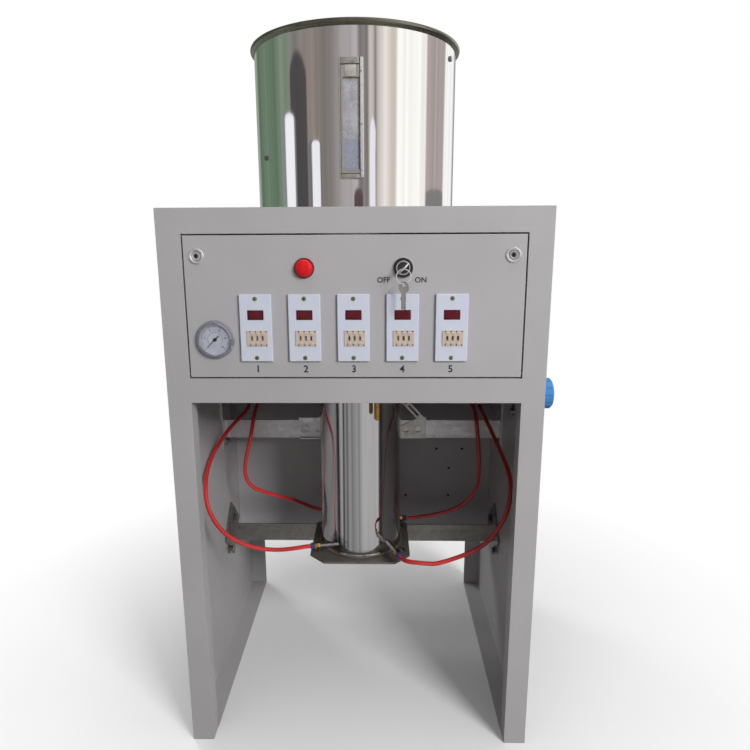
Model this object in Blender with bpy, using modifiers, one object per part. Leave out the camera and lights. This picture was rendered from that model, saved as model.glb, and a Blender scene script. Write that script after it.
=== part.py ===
# Garlic peeling machine: a floor-standing cabinet with a hopper, a control door and an air-fed peeling barrel.
# Units are metres. The drawing frame has X to the right, Y to the back from the front face, Z up from the floor.
import math

import bmesh
import bpy
from mathutils import Matrix, Vector

# Shared clearances and stock
GAP = 0.0003
OVERRUN = 0.004
MERGE = 0.00001
SHEET = 0.0015
BORE_CLEARANCE = 0.0005

# Cabinet
CABINET_WIDTH = 0.580
CABINET_DEPTH = 0.505
CABINET_HEIGHT = 0.905
UPRIGHT_WIDTH = 0.036
FLANGE_WIDTH = 0.037
TOP_FLANGE_WIDTH = 0.020
BAND_HEIGHT = 0.292
LEG_LIP_DEPTH = 0.028

# Control door
DOOR_SIDE_MARGIN = 0.0385
DOOR_TOP_MARGIN = 0.0393
DOOR_SILL = 0.0407
DOOR_PLATE = 0.002
DOOR_PAN_DEPTH = 0.014
DOOR_SEAM = 0.0022
DOOR_LIP_DEPTH = 0.0148
DOOR_EDGE_ROUND = 0.00075
PIVOT_INSET = 0.005
PIVOT_RADIUS = 0.0015
PIVOT_HEAD_RADIUS = 0.0026
PIVOT_HEAD_LENGTH = 0.0012

# Door locks
LOCK_INSET = 0.0195
LOCK_DROP = 0.0297
LOCK_PLUG_RADIUS = 0.0065
LOCK_PLUG_PROUD = 0.0015
LOCK_SLOT_WIDTH = 0.0016
LOCK_SLOT_LENGTH = 0.007
LOCK_SLOT_DEPTH = 0.0012
CAM_LENGTH = 0.028
CAM_WIDTH = 0.010
CAM_THICKNESS = 0.002

# Pilot lamp; it and the key switch stand at these shares of the door's width and of the height above the timers
LAMP_SIDE_SHARE = -0.14612
SWITCH_SIDE_SHARE = 0.14274
SWITCH_ROW_SHARE = 0.44276
LAMP_LENS_RADIUS = 0.0143
LAMP_LENS_PROUD = 0.011
LAMP_RIM_THICKNESS = 0.002
LAMP_BODY_RADIUS = 0.011
LAMP_BODY_LENGTH = 0.042
# The lens's dome as shares of its radius and of how far it stands proud
LAMP_DOME_SHARES = ((1.0, 0.45), (0.93, 0.72), (0.72, 0.91), (0.38, 0.985), (0.0, 1.0))

# Key switch and keys
SWITCH_RING_RADIUS = 0.01425
SWITCH_RING_PROUD = 0.005
SWITCH_RING_BEVEL = 0.0015
SWITCH_RING_EDGE_SHARE = 0.6
SWITCH_BODY_RADIUS = 0.011
SWITCH_BODY_LENGTH = 0.045
SWITCH_BARREL_RADIUS = 0.008
SWITCH_BARREL_LENGTH = 0.020
SWITCH_BARREL_PROUD = 0.0012
KEY_ANGLE = 45
KEY_THICKNESS = 0.0016
KEY_BLADE_WIDTH = 0.007
KEY_BLADE_DEPTH = 0.010
KEY_REACH = 0.032
KEY_BOW_RADIUS = 0.011
KEY_HOLE_RADIUS = 0.0035
KEY_HOLE_OFFSET = 0.0045
KEY_SLOT_CLEARANCE = 0.0004
RING_RADIUS = 0.0105
RING_WIRE_RADIUS = 0.0006
RING_DROP = 0.0008
SPARE_BOW_RADIUS = 0.0085
SPARE_HOLE_OFFSET = 0.0035
SPARE_HOLE_LIFT = 0.0017
SPARE_BLADE_LENGTH = 0.023
SPARE_TURN = 50

# Pressure gauge
GAUGE_INSET = 0.041
GAUGE_RISE = 0.0586
GAUGE_TIMER_SPACE = 0.0099
GAUGE_FLANGE_RADIUS = 0.0290
GAUGE_BODY_RADIUS = 0.0255
GAUGE_PROUD = 0.008
GAUGE_FLANGE_THICKNESS = 0.003
GAUGE_BODY_LENGTH = 0.028
GAUGE_DIAL_RADIUS = 0.0235
GAUGE_DIAL_DEPTH = 0.0055
NEEDLE_LENGTH = 0.0165
NEEDLE_TAIL = 0.0085
NEEDLE_WIDTH = 0.0016
NEEDLE_THICKNESS = 0.0006
NEEDLE_HUB_RADIUS = 0.0028
NEEDLE_LIFT = 0.0016
NEEDLE_ZERO_ANGLE = -135

# Timers
TIMER_COUNT = 5
# The bare part of the door to the right of the timers, as a share of the door's width
TIMER_RIGHT_SHARE = 0.16481
TIMER_SILL = 0.0254
TIMER_WIDTH = 0.048
TIMER_HEIGHT = 0.101
TIMER_PROUD = 0.0045
TIMER_EDGE_ROUND = 0.0009
TIMER_BODY_WIDTH = 0.0444
TIMER_BODY_HEIGHT = 0.091
TIMER_BODY_DEPTH = 0.068
DISPLAY_WIDTH = 0.0245
DISPLAY_HEIGHT = 0.0148
DISPLAY_RISE = 0.0197
DISPLAY_RECESS = 0.0008
WHEEL_WINDOW_WIDTH = 0.0230
WHEEL_WINDOW_HEIGHT = 0.0085
WHEEL_DROP = 0.0151
WHEEL_RADIUS = 0.0112
WHEEL_FACE_WALL = 0.0010
WHEEL_GROOVE = 0.0008
WHEEL_GROOVE_WIDTH = 0.0010
WHEEL_COUNT = 3
WHEEL_DIGITS = 10

# Hopper
AXIS_Y = 0.226
HOPPER_X = -0.004
HOPPER_RADIUS = 0.1706
HOPPER_WALL = 0.0015
HOPPER_HEIGHT = 0.2655
RIM_BEAD_RADIUS = 0.0048
RIM_BEAD_STEPS = 8
RIM_BEAD_START_ANGLE = 200
RIM_BEAD_SWEEP = 310
HOPPER_FOOT_WIDTH = 0.014
CONE_SPACE = 0.0026
CONE_RISE = 0.040
CONE_DROP = 0.105
NECK_RADIUS = 0.055
NECK_SPACE = 0.0039

# Sight window
WINDOW_WIDTH = 0.0362
WINDOW_RISE = 0.044
WINDOW_HEIGHT = 0.166
WINDOW_PROUD = 0.010
WINDOW_SLOT_WIDTH = 0.024
PANE_WIDTH = 0.026
PANE_FOOT_MARGIN = 0.0095
PANE_HEAD_MARGIN = 0.024
PANE_THICKNESS = 0.003
WINDOW_LIP = 0.0025

# Peeling barrel
BARREL_RADIUS = 0.0785
BARREL_WALL = 0.002
BARREL_DROP = 0.205
WELD_SIZE = 0.004
PLATE_THICKNESS = 0.004
BASE_PLATE_TOP = 0.270
BASE_PLATE_SIZE = 0.191
BASE_PLATE_CHAMFER = 0.0292
BASE_HOLE_RADIUS = 0.065

# Feed gate between hopper neck and barrel
FEED_FLANGE_LEFT = 0.095
FEED_FLANGE_RIGHT = 0.126
FEED_FLANGE_FRONT = 0.108
FEED_FLANGE_BACK = 0.106
FEED_HOLE_RADIUS = 0.055
FEED_DISC_RADIUS = 0.060
FEED_PIVOT_REACH = 0.100
DISCHARGE_DISC_RADIUS = 0.070
DISCHARGE_PIVOT_X = 0.075
DISCHARGE_PIVOT_BACK = 0.036
GATE_THICKNESS = 0.003
GATE_BOSS_RADIUS = 0.013
GATE_PIN_RADIUS = 0.004
GATE_PIN_LENGTH = 0.018
ACTUATOR_RADIUS = 0.018
ACTUATOR_LENGTH = 0.040
ACTUATOR_BORE_FLOOR = 0.002
ACTUATOR_ARM_WIDTH = 0.024
ACTUATOR_ARM_HEIGHT = 0.028

# Feed valve and its silencer
VALVE_X = 0.0335
VALVE_REACH = 0.094
VALVE_WIDTH = 0.024
VALVE_HEIGHT = 0.114
SILENCER_RADIUS = 0.0057
SILENCER_LENGTH = 0.040
SILENCER_NECK_RADIUS = 0.0035
SILENCER_NECK_LENGTH = 0.004

# Crossbars
BAR_CLEARANCE = 0.0005
BAR_LEG = 0.038
BAR_THICKNESS = 0.003
UPPER_BAR_DROP = 0.244
LOWER_BAR_PAD = 0.0055
LOWER_PAD_WIDTH = 0.030
LOWER_PAD_SPREAD = 0.080
END_PLATE_THICKNESS = 0.004
UPPER_END_WIDTH = 0.060
UPPER_END_LEAD = 0.020
UPPER_END_HEIGHT = 0.120
UPPER_END_DROP = 0.020
LOWER_END_SIZE = 0.086
LOWER_END_TILT = 45

# Barrel brackets on the upper crossbar
BRACKET_THICKNESS = 0.002
BRACKET_HEIGHT = 0.046
BRACKET_LIFT = 0.0005
LEFT_BRACKET_REACH = 0.129
RIGHT_BRACKET_REACH = 0.133
BRACKET_LIP = 0.005
BRACKET_HOLE_RADIUS = 0.0066
BRACKET_HOLE_RISE = 0.020
BRACKET_HOLE_INSETS = (0.0155, 0.041)
BRACKET_SLOPE_DROP = 0.018
BRACKET_SLOPE_RUN = 0.048
STAY_WIDTH = 0.013
STAY_LENGTH = 0.105
STAY_TILT = 47
STAY_SLOT_WIDTH = 0.005
STAY_SLOT_LENGTH = 0.030

# Back plate
BACK_PLATE_INSET = 0.100
BACK_PLATE_SKIRT = 0.080
BACK_PLATE_HEADROOM = 0.025
BACK_PLATE_RETURN = 0.015
BACK_HOLE_RADIUS = 0.003
BACK_HOLE_SPACING = 0.0288
BACK_HOLES_X = 0.1956
BACK_HOLES_HIGH_RISE = 0.127
BACK_HOLES_MID_RISE = 0.081
BACK_HOLES_LOW_RISE = 0.0146
BACK_HOLE_FAR = 0.098

# Skin duct
DUCT_DROP = 0.050
DUCT_RADIUS = 0.040
DUCT_WALL = 0.002
DUCT_INSET = 0.025
DUCT_FLANGE_RADIUS = 0.056
DUCT_FLANGE_THICKNESS = 0.003

# Air supply
RAIL_SIZE = 0.025
RAIL_END_SPACE = 0.0235
RAIL_DROP = 0.300
OUTLET_INSET = 0.029
OUTLET_SPACING = 0.018
OUTLET_RADIUS = 0.005
OUTLET_LENGTH = 0.010
INLET_INSET = 0.1385
INLET_RADIUS = 0.0085
INLET_LENGTH = 0.040
INLET_NUT_RADIUS = 0.013
INLET_NUT_LENGTH = 0.012
INLET_BORE_RADIUS = 0.0025
VALVE_BANK_INSET = 0.1385
VALVE_BANK_WIDTH = 0.120
VALVE_BANK_DROP = 0.160
VALVE_BANK_HEIGHT = 0.030
VALVE_BANK_DEPTH = 0.030
COIL_COUNT = 4
COIL_WIDTH = 0.022
COIL_HEIGHT = 0.055
COIL_DEPTH = 0.026
GLAND_INSET = 0.1385
GLAND_RISE = 0.060
GLAND_RADIUS = 0.010
GLAND_NUT_RADIUS = 0.0135
GLAND_NUT_LENGTH = 0.006
GLAND_DOME_RADIUS = 0.0105
GLAND_LENGTH = 0.026
GLAND_THREAD_LENGTH = 0.012
GLAND_BORE_RADIUS = 0.0028
GLAND_DOME_SHARE = 0.6

# Regulator behind the right side panel, with its knob outside
REGULATOR_Y = 0.048
REGULATOR_RISE = 0.004
REGULATOR_SIZE = 0.036
REGULATOR_DEPTH = 0.024
BONNET_RADIUS = 0.010
KNOB_RADIUS = 0.0245
KNOB_LENGTH = 0.021
KNOB_BEVEL = 0.003
KNOB_BORE_DEPTH = 0.012
KNOB_FLUTES = 12
KNOB_FLUTE_RADIUS = 0.0022
KNOB_FLUTE_START = 0.0055

# Air nozzles round the barrel and their red hoses
NOZZLE_FRONT_RISE = 0.0202
NOZZLE_BACK_RISE = 0.0127
NOZZLE_STEM_RADIUS = 0.005
NOZZLE_LENGTH = 0.047
NOZZLE_LONG_LENGTH = 0.057
NOZZLE_NUT_RADIUS = 0.0056
NOZZLE_NUT_LENGTH = 0.0095
NOZZLE_COLLAR_RADIUS = 0.005
NOZZLE_COLLAR_LENGTH = 0.006
# How far off the barrel's axis each nozzle enters, as a share of the barrel's radius
NOZZLE_SIDE_SHARES = {"nozzle_back": 0.815, "nozzle_left": 0.815, "nozzle_front": 0.815, "nozzle_right": 0.682}
# How far each nozzle is turned outward from the barrel's tangent, in degrees
NOZZLE_TURNS = {"nozzle_back": 0.0, "nozzle_left": 12.0, "nozzle_front": 11.6, "nozzle_right": 22.0}
HOSE_RADIUS = 0.004
HOSE_POINT_SPACING = 0.017
HOSE_LEAD_OUT = 0.016
HOSE_LEAD_IN = 0.009

# Derived places
HALF_WIDTH = CABINET_WIDTH / 2
INNER_HALF = HALF_WIDTH - SHEET
SIDE_TOP = CABINET_HEIGHT - SHEET - GAP
LEG_HALF = HALF_WIDTH - UPRIGHT_WIDTH
BAND_BOTTOM = CABINET_HEIGHT - BAND_HEIGHT

DOOR_WIDTH = CABINET_WIDTH - 2 * DOOR_SIDE_MARGIN
DOOR_BOTTOM = BAND_BOTTOM + DOOR_SILL
DOOR_TOP = CABINET_HEIGHT - DOOR_TOP_MARGIN
SEAM_HALF = DOOR_WIDTH / 2 + DOOR_SEAM
PIVOT_AT = (0, PIVOT_INSET, DOOR_BOTTOM + PIVOT_INSET)
CAM_Y = DOOR_LIP_DEPTH + BORE_CLEARANCE
LOCK_X = DOOR_WIDTH / 2 - LOCK_INSET
LOCK_HEIGHT = DOOR_TOP - LOCK_DROP
GAUGE_X = GAUGE_INSET - DOOR_WIDTH / 2
GAUGE_HEIGHT = DOOR_BOTTOM + GAUGE_RISE
TIMER_ROW_LEFT = GAUGE_X + GAUGE_FLANGE_RADIUS + GAUGE_TIMER_SPACE
TIMER_ROW_RIGHT = DOOR_WIDTH / 2 - TIMER_RIGHT_SHARE * DOOR_WIDTH
TIMER_PITCH = (TIMER_ROW_RIGHT - TIMER_ROW_LEFT - TIMER_WIDTH) / (TIMER_COUNT - 1)
TIMER_ROW_HEIGHT = DOOR_BOTTOM + TIMER_SILL + TIMER_HEIGHT / 2
TIMER_TOP = TIMER_ROW_HEIGHT + TIMER_HEIGHT / 2
LAMP_X = LAMP_SIDE_SHARE * DOOR_WIDTH
SWITCH_X = SWITCH_SIDE_SHARE * DOOR_WIDTH
SWITCH_ROW_HEIGHT = TIMER_TOP + SWITCH_ROW_SHARE * (DOOR_TOP - TIMER_TOP)

HOPPER_TOP = CABINET_HEIGHT + HOPPER_HEIGHT
CONE_TOP = CABINET_HEIGHT + CONE_RISE
CONE_BOTTOM = CABINET_HEIGHT - CONE_DROP
CONE_TOP_RADIUS = HOPPER_RADIUS - HOPPER_WALL - GAP
CONE_SLOPE = (CONE_TOP_RADIUS - NECK_RADIUS) / (CONE_TOP - CONE_BOTTOM)
TOP_HOLE_RADIUS = NECK_RADIUS + CONE_SLOPE * CONE_DROP + CONE_SPACE
WINDOW_BOTTOM = CABINET_HEIGHT + WINDOW_RISE
WINDOW_TOP = WINDOW_BOTTOM + WINDOW_HEIGHT
PANE_BOTTOM = WINDOW_BOTTOM + PANE_FOOT_MARGIN
PANE_TOP = WINDOW_TOP - PANE_HEAD_MARGIN

BARREL_TOP = CABINET_HEIGHT - BARREL_DROP
BARREL_BOTTOM = BASE_PLATE_TOP + GAP
BASE_PLATE_BOTTOM = BASE_PLATE_TOP - PLATE_THICKNESS
FEED_FLANGE_BOTTOM = BARREL_TOP + GAP
FEED_FLANGE_TOP = FEED_FLANGE_BOTTOM + PLATE_THICKNESS
NECK_BOTTOM = FEED_FLANGE_TOP + GAP + GATE_THICKNESS + NECK_SPACE
VALVE_Y = AXIS_Y - VALVE_REACH
VALVE_BOTTOM = BARREL_TOP - VALVE_HEIGHT

BAR_FRONT_Y = AXIS_Y + BARREL_RADIUS + BAR_CLEARANCE
UPPER_BAR_BOTTOM = BARREL_TOP - UPPER_BAR_DROP
LOWER_BAR_BOTTOM = BASE_PLATE_BOTTOM - GAP - LOWER_BAR_PAD - BAR_LEG

BACK_PLATE_Y = CABINET_DEPTH - BACK_PLATE_INSET
BACK_PLATE_BOTTOM = BASE_PLATE_TOP - BACK_PLATE_SKIRT
BACK_PLATE_TOP = CABINET_HEIGHT - BACK_PLATE_HEADROOM
BACK_HOLES_HIGH = BASE_PLATE_TOP + BACK_HOLES_HIGH_RISE
BACK_HOLES_MID = BASE_PLATE_TOP + BACK_HOLES_MID_RISE
BACK_HOLES_LOW = BASE_PLATE_TOP + BACK_HOLES_LOW_RISE
DUCT_HEIGHT = BARREL_TOP - DUCT_DROP
DUCT_BACK_Y = CABINET_DEPTH - DUCT_INSET
RAIL_LENGTH = 2 * (INNER_HALF - RAIL_END_SPACE)
RAIL_BOTTOM = BACK_PLATE_TOP - RAIL_DROP
OUTLET_CENTRE = RAIL_LENGTH / 2 - OUTLET_INSET
INLET_X = INNER_HALF - INLET_INSET
VALVE_BANK_X = VALVE_BANK_INSET - INNER_HALF
VALVE_BANK_BOTTOM = BACK_PLATE_TOP - VALVE_BANK_DROP
GLAND_X = GLAND_INSET - INNER_HALF
GLAND_HEIGHT = RAIL_BOTTOM + GLAND_RISE
REGULATOR_HEIGHT = BAND_BOTTOM + REGULATOR_RISE
KNOB_INNER_X = HALF_WIDTH + GAP
NOZZLE_FRONT_HEIGHT = BARREL_BOTTOM + NOZZLE_FRONT_RISE
NOZZLE_BACK_HEIGHT = BARREL_BOTTOM + NOZZLE_BACK_RISE
DATUM_AT = (-(GAP + KNOB_LENGTH) / 2, -(CABINET_DEPTH - KEY_REACH) / 2, 0)

# Each nozzle's quarter of the barrel, counted from the right side, its height and its length
NOZZLES = {
    "nozzle_back": (0, NOZZLE_BACK_HEIGHT, NOZZLE_LENGTH),
    "nozzle_left": (1, NOZZLE_BACK_HEIGHT, NOZZLE_LENGTH),
    "nozzle_front": (2, NOZZLE_FRONT_HEIGHT, NOZZLE_LENGTH),
    "nozzle_right": (3, NOZZLE_FRONT_HEIGHT, NOZZLE_LONG_LENGTH),
}

# Each hose's nozzle and its outlet's place on the rail: the side, and which of that side's two outlets
HOSE_ENDS = {
    "hose_front": ("nozzle_front", -1, -0.5),
    "hose_left": ("nozzle_left", -1, 0.5),
    "hose_right": ("nozzle_right", 1, 0.5),
    "hose_back": ("nozzle_back", 1, -0.5),
}

# Points chosen along each hose as it hangs, from the rail's outlet down to the nozzle. Each is given sideways,
# in depth and in height, as shares of the way from the nozzle's tip to the outlet
HOSE_ROUTE_SHARES = {
    "hose_front": [
        (0.9869, 0.9074, 0.8578), (0.9739, 0.7614, 0.7969), (1.0228, 0.6028, 0.7665),
        (1.1371, 0.4151, 0.7038), (1.2154, 0.219, 0.6304), (1.2318, 0.0104, 0.5623),
        (1.2056, -0.144, 0.4764), (1.1502, -0.2191, 0.3546), (1.0326, -0.2024, 0.2095),
        (0.8825, -0.1482, 0.1057), (0.7356, -0.1064, 0.0466), (0.5822, -0.0731, 0.0107),
        (0.3798, -0.0439, -0.009), (0.184, -0.0242, -0.0047)],
    "hose_left": [
        (0.9902, 0.7152, 0.865), (0.9772, 0.2451, 0.804), (0.9706, -0.2385, 0.7674),
        (0.9837, -0.4937, 0.6732), (1.0228, -0.6683, 0.5598), (1.0588, -0.7489, 0.4587),
        (1.062, -0.7489, 0.3697), (1.0065, -0.6818, 0.2878), (0.8825, -0.5273, 0.2267),
        (0.6867, -0.2385, 0.1552), (0.5365, 0.0302, 0.0994), (0.4027, 0.2518, 0.0436),
        (0.2865, 0.3861, -0.0017), (0.2036, 0.4372, -0.0237), (0.1213, 0.3996, -0.0296),
        (0.0535, 0.2934, -0.0157)],
    "hose_right": [
        (1.0088, 0.9306, 0.8614), (1.0294, 0.8041, 0.7969), (1.05, 0.656, 0.7611),
        (1.0971, 0.5223, 0.6895), (1.1441, 0.3055, 0.6089), (1.1706, 0.1429, 0.5415),
        (1.1735, 0.0525, 0.471), (1.1353, -0.0197, 0.3707), (1.0541, -0.0486, 0.2561),
        (0.9118, -0.0559, 0.1361), (0.7441, -0.0559, 0.0645), (0.5588, -0.0595, 0.0179),
        (0.3823, -0.0739, -0.0072), (0.2647, -0.0938, 0.0036), (0.1829, -0.0981, 0.0107),
        (0.117, -0.0902, 0.0107), (0.0582, -0.0663, 0.0054)],
    "hose_back": [
        (1.0298, 0.8024, 0.865), (1.0671, 0.4502, 0.8022), (1.0671, 0.098, 0.7674),
        (1.082, -0.0487, 0.6453), (1.108, -0.0976, 0.5023), (1.1155, -0.0976, 0.3802),
        (1.0931, -0.0976, 0.2773), (1.0089, -0.078, 0.1831), (0.8212, -0.0389, 0.0942),
        (0.5634, -0.0096, 0.0419), (0.2773, -0.0017, 0.0122)],
}

# Colour, roughness and metallic value of each finish
FINISHES = {
    "paint": ((0.41, 0.39, 0.38), 0.45, 0.0),
    "mirror_steel": ((0.72, 0.72, 0.71), 0.08, 1.0),
    "brushed_steel": ((0.55, 0.55, 0.54), 0.35, 1.0),
    "zinc": ((0.60, 0.61, 0.62), 0.40, 1.0),
    "brass": ((0.75, 0.53, 0.20), 0.30, 1.0),
    "chrome": ((0.80, 0.80, 0.80), 0.12, 1.0),
    "black_plastic": ((0.03, 0.03, 0.03), 0.40, 0.0),
    "grey_plastic": ((0.16, 0.16, 0.17), 0.50, 0.0),
    "pale_plastic": ((0.66, 0.69, 0.78), 0.35, 0.0),
    "digit_plastic": ((0.72, 0.66, 0.56), 0.50, 0.0),
    "red_lens": ((0.70, 0.02, 0.02), 0.15, 0.0),
    "blue_plastic": ((0.07, 0.27, 0.60), 0.35, 0.0),
    "red_hose": ((0.47, 0.04, 0.03), 0.35, 0.0),
    "clear_pane": ((0.80, 0.82, 0.80), 0.10, 0.0),
    "needle_black": ((0.02, 0.02, 0.03), 0.40, 0.0),
}


def start_empty():
    for obj in list(bpy.data.objects):
        bpy.data.objects.remove(obj, do_unlink=True)
    for mesh in list(bpy.data.meshes):
        bpy.data.meshes.remove(mesh)


def new_collection(name):
    found = bpy.data.collections.new(name)
    bpy.context.scene.collection.children.link(found)
    return found


start_empty()
PARTS = new_collection("garlic_peeling_machine")
CUTTERS = new_collection("cutters")
ANCHORS = {}


def make_datum():
    empty = bpy.data.objects.new("cabinet_datum", None)
    empty.location = DATUM_AT
    PARTS.objects.link(empty)
    ANCHORS[empty.name] = Vector((0, 0, 0))
    return empty


DATUM = make_datum()


def place(obj, at, carrier=None):
    carrier = carrier or DATUM
    obj.parent = carrier
    obj.location = Vector(at) - ANCHORS[carrier.name]
    ANCHORS[obj.name] = Vector(at)
    return obj


def add_finish(obj, finish):
    colour, roughness, metallic = FINISHES[finish]
    material = bpy.data.materials.new(obj.name + "_finish")
    material.use_nodes = True
    shader = material.node_tree.nodes["Principled BSDF"]
    shader.inputs["Base Color"].default_value = (*colour, 1.0)
    shader.inputs["Roughness"].default_value = roughness
    shader.inputs["Metallic"].default_value = metallic
    obj.data.materials.append(material)


def as_node(name, obj, finish):
    # A node carries its final name, its finish and its place in the object's collection
    anchor = ANCHORS.pop(obj.name)
    obj.name = name
    ANCHORS[name] = anchor
    CUTTERS.objects.unlink(obj)
    PARTS.objects.link(obj)
    obj.hide_render = False
    obj.display_type = "TEXTURED"
    add_finish(obj, finish)
    return obj


def stock(label, data, at, carrier=None):
    # Every body starts as stock among the cutters, until it is named as a node
    obj = bpy.data.objects.new(label, data)
    CUTTERS.objects.link(obj)
    obj.hide_render = True
    obj.display_type = "WIRE"
    return place(obj, at, carrier)


def mesh_from(bm, label, smooth_angle=None):
    mesh = bpy.data.meshes.new(label)
    bm.to_mesh(mesh)
    bm.free()
    if smooth_angle:
        mesh.shade_smooth()
        mesh.set_sharp_from_angle(angle=math.radians(smooth_angle))
    return mesh


def bevel_edges(obj, width):
    bevel = obj.modifiers.new("edge_round", "BEVEL")
    bevel.width = width
    bevel.segments = 2
    bevel.limit_method = "ANGLE"
    bevel.angle_limit = math.radians(40)
    return obj


def block(label, xs, ys, zs, carrier=None, bevel=0):
    # A box between the given limits in the drawing frame
    size = Vector((xs[1] - xs[0], ys[1] - ys[0], zs[1] - zs[0]))
    centre = Vector((xs[0] + xs[1], ys[0] + ys[1], zs[0] + zs[1])) / 2
    bm = bmesh.new()
    bmesh.ops.create_cube(bm, size=1)
    bmesh.ops.scale(bm, vec=size, verts=bm.verts)
    obj = stock(label, mesh_from(bm, label), centre, carrier)
    if bevel:
        bevel_edges(obj, bevel)
    return obj


AXIS_TURNS = {
    "X": Matrix.Rotation(math.radians(90), 4, "Y"),
    "Y": Matrix.Rotation(math.radians(-90), 4, "X"),
    "Z": Matrix.Identity(4),
}


def rod(label, start, length, radius, axis="Z", segments=24, carrier=None):
    # A cylinder that starts at a point and runs along an axis of the drawing frame
    bm = bmesh.new()
    bmesh.ops.create_cone(bm, cap_ends=True, segments=segments, radius1=radius, radius2=radius, depth=length)
    bmesh.ops.translate(bm, verts=bm.verts, vec=(0, 0, length / 2))
    bmesh.ops.transform(bm, matrix=AXIS_TURNS[axis], verts=bm.verts)
    return stock(label, mesh_from(bm, label, 40), start, carrier)


def turned(label, profile, at, axis="Z", steps=48, carrier=None):
    # A turned body: the profile lists radius and height down the outer side, then back up a bore if it has one
    bm = bmesh.new()
    corners = [bm.verts.new((radius, 0, height)) for radius, height in profile]
    for first, second in zip(corners, corners[1:]):
        bm.edges.new((first, second))
    if profile[0][0] > 0:
        bm.edges.new((corners[-1], corners[0]))
    obj = stock(label, mesh_from(bm, label), at, carrier)
    obj.rotation_euler = AXIS_TURNS[axis].to_euler()
    screw = obj.modifiers.new("turn", "SCREW")
    screw.axis = "Z"
    screw.angle = math.radians(360)
    screw.steps = steps
    screw.render_steps = steps
    screw.use_merge_vertices = True
    screw.merge_threshold = MERGE
    screw.use_smooth_shade = True
    return obj


def outline(label, points, thickness, at, axis="Z", holes=(), carrier=None):
    # A flat piece cut from plate: an outline in the drawing plane, with holes, centred on its thickness
    curve = bpy.data.curves.new(label, "CURVE")
    curve.dimensions = "2D"
    curve.fill_mode = "BOTH"
    curve.extrude = thickness / 2
    for loop in (points, *holes):
        spline = curve.splines.new("POLY")
        spline.points.add(len(loop) - 1)
        for point, (across, along) in zip(spline.points, loop):
            point.co = (across, along, 0, 1)
        spline.use_cyclic_u = True
    obj = stock(label, curve, at, carrier)
    obj.rotation_euler = AXIS_TURNS[axis].to_euler()
    return as_mesh(obj, carrier)


def as_mesh(curve_obj, carrier=None):
    # The curve's evaluated shape as a closed mesh, in the same place
    bpy.context.view_layer.update()
    label = curve_obj.name
    anchor = ANCHORS.pop(label)
    evaluated = curve_obj.evaluated_get(bpy.context.evaluated_depsgraph_get())
    mesh = bpy.data.meshes.new_from_object(evaluated)
    bm = bmesh.new()
    bm.from_mesh(mesh)
    bmesh.ops.remove_doubles(bm, verts=bm.verts, dist=MERGE)
    bmesh.ops.recalc_face_normals(bm, faces=bm.faces)
    bm.to_mesh(mesh)
    bm.free()
    turn = curve_obj.rotation_euler.copy()
    bpy.data.objects.remove(curve_obj, do_unlink=True)
    solid = stock(label, mesh, anchor, carrier)
    solid.rotation_euler = turn
    return solid


def ring_points(radius, count, centre=(0, 0)):
    turn = 2 * math.pi / count
    return [
        (centre[0] + radius * math.cos(turn * i), centre[1] + radius * math.sin(turn * i)) for i in range(count)]


def change(target, others, operation):
    for other in others:
        boolean = target.modifiers.new(operation.lower(), "BOOLEAN")
        boolean.operation = operation
        boolean.solver = "EXACT"
        boolean.object = other
    return target


def cut(target, *others):
    return change(target, others, "DIFFERENCE")


def join(target, *others):
    return change(target, others, "UNION")


def build_front_frame():
    frame = block("front_sheet", (-HALF_WIDTH, HALF_WIDTH), (0, SHEET), (0, CABINET_HEIGHT))
    leg_lip = block(
        "leg_lip", (-LEG_HALF - SHEET, LEG_HALF + SHEET), (0, LEG_LIP_DEPTH), (0, BAND_BOTTOM + SHEET))
    door_lip = block(
        "door_lip", (-SEAM_HALF - SHEET, SEAM_HALF + SHEET), (0, DOOR_LIP_DEPTH),
        (DOOR_BOTTOM - DOOR_SEAM - SHEET, DOOR_TOP + DOOR_SEAM + SHEET))
    leg_space = block(
        "leg_space", (-LEG_HALF, LEG_HALF), (-OVERRUN, LEG_LIP_DEPTH + OVERRUN), (-OVERRUN, BAND_BOTTOM))
    door_space = block(
        "door_space", (-SEAM_HALF, SEAM_HALF), (-OVERRUN, DOOR_LIP_DEPTH + OVERRUN),
        (DOOR_BOTTOM - DOOR_SEAM, DOOR_TOP + DOOR_SEAM))
    join(frame, leg_lip, door_lip)
    cut(frame, leg_space, door_space)
    pivot_bore = rod(
        "frame_pivot_bore", (-HALF_WIDTH + OVERRUN, PIVOT_AT[1], PIVOT_AT[2]),
        CABINET_WIDTH - 2 * OVERRUN, PIVOT_RADIUS + GAP, "X", 16)
    cut(frame, pivot_bore)
    return as_node("front_frame", frame, "paint")


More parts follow.
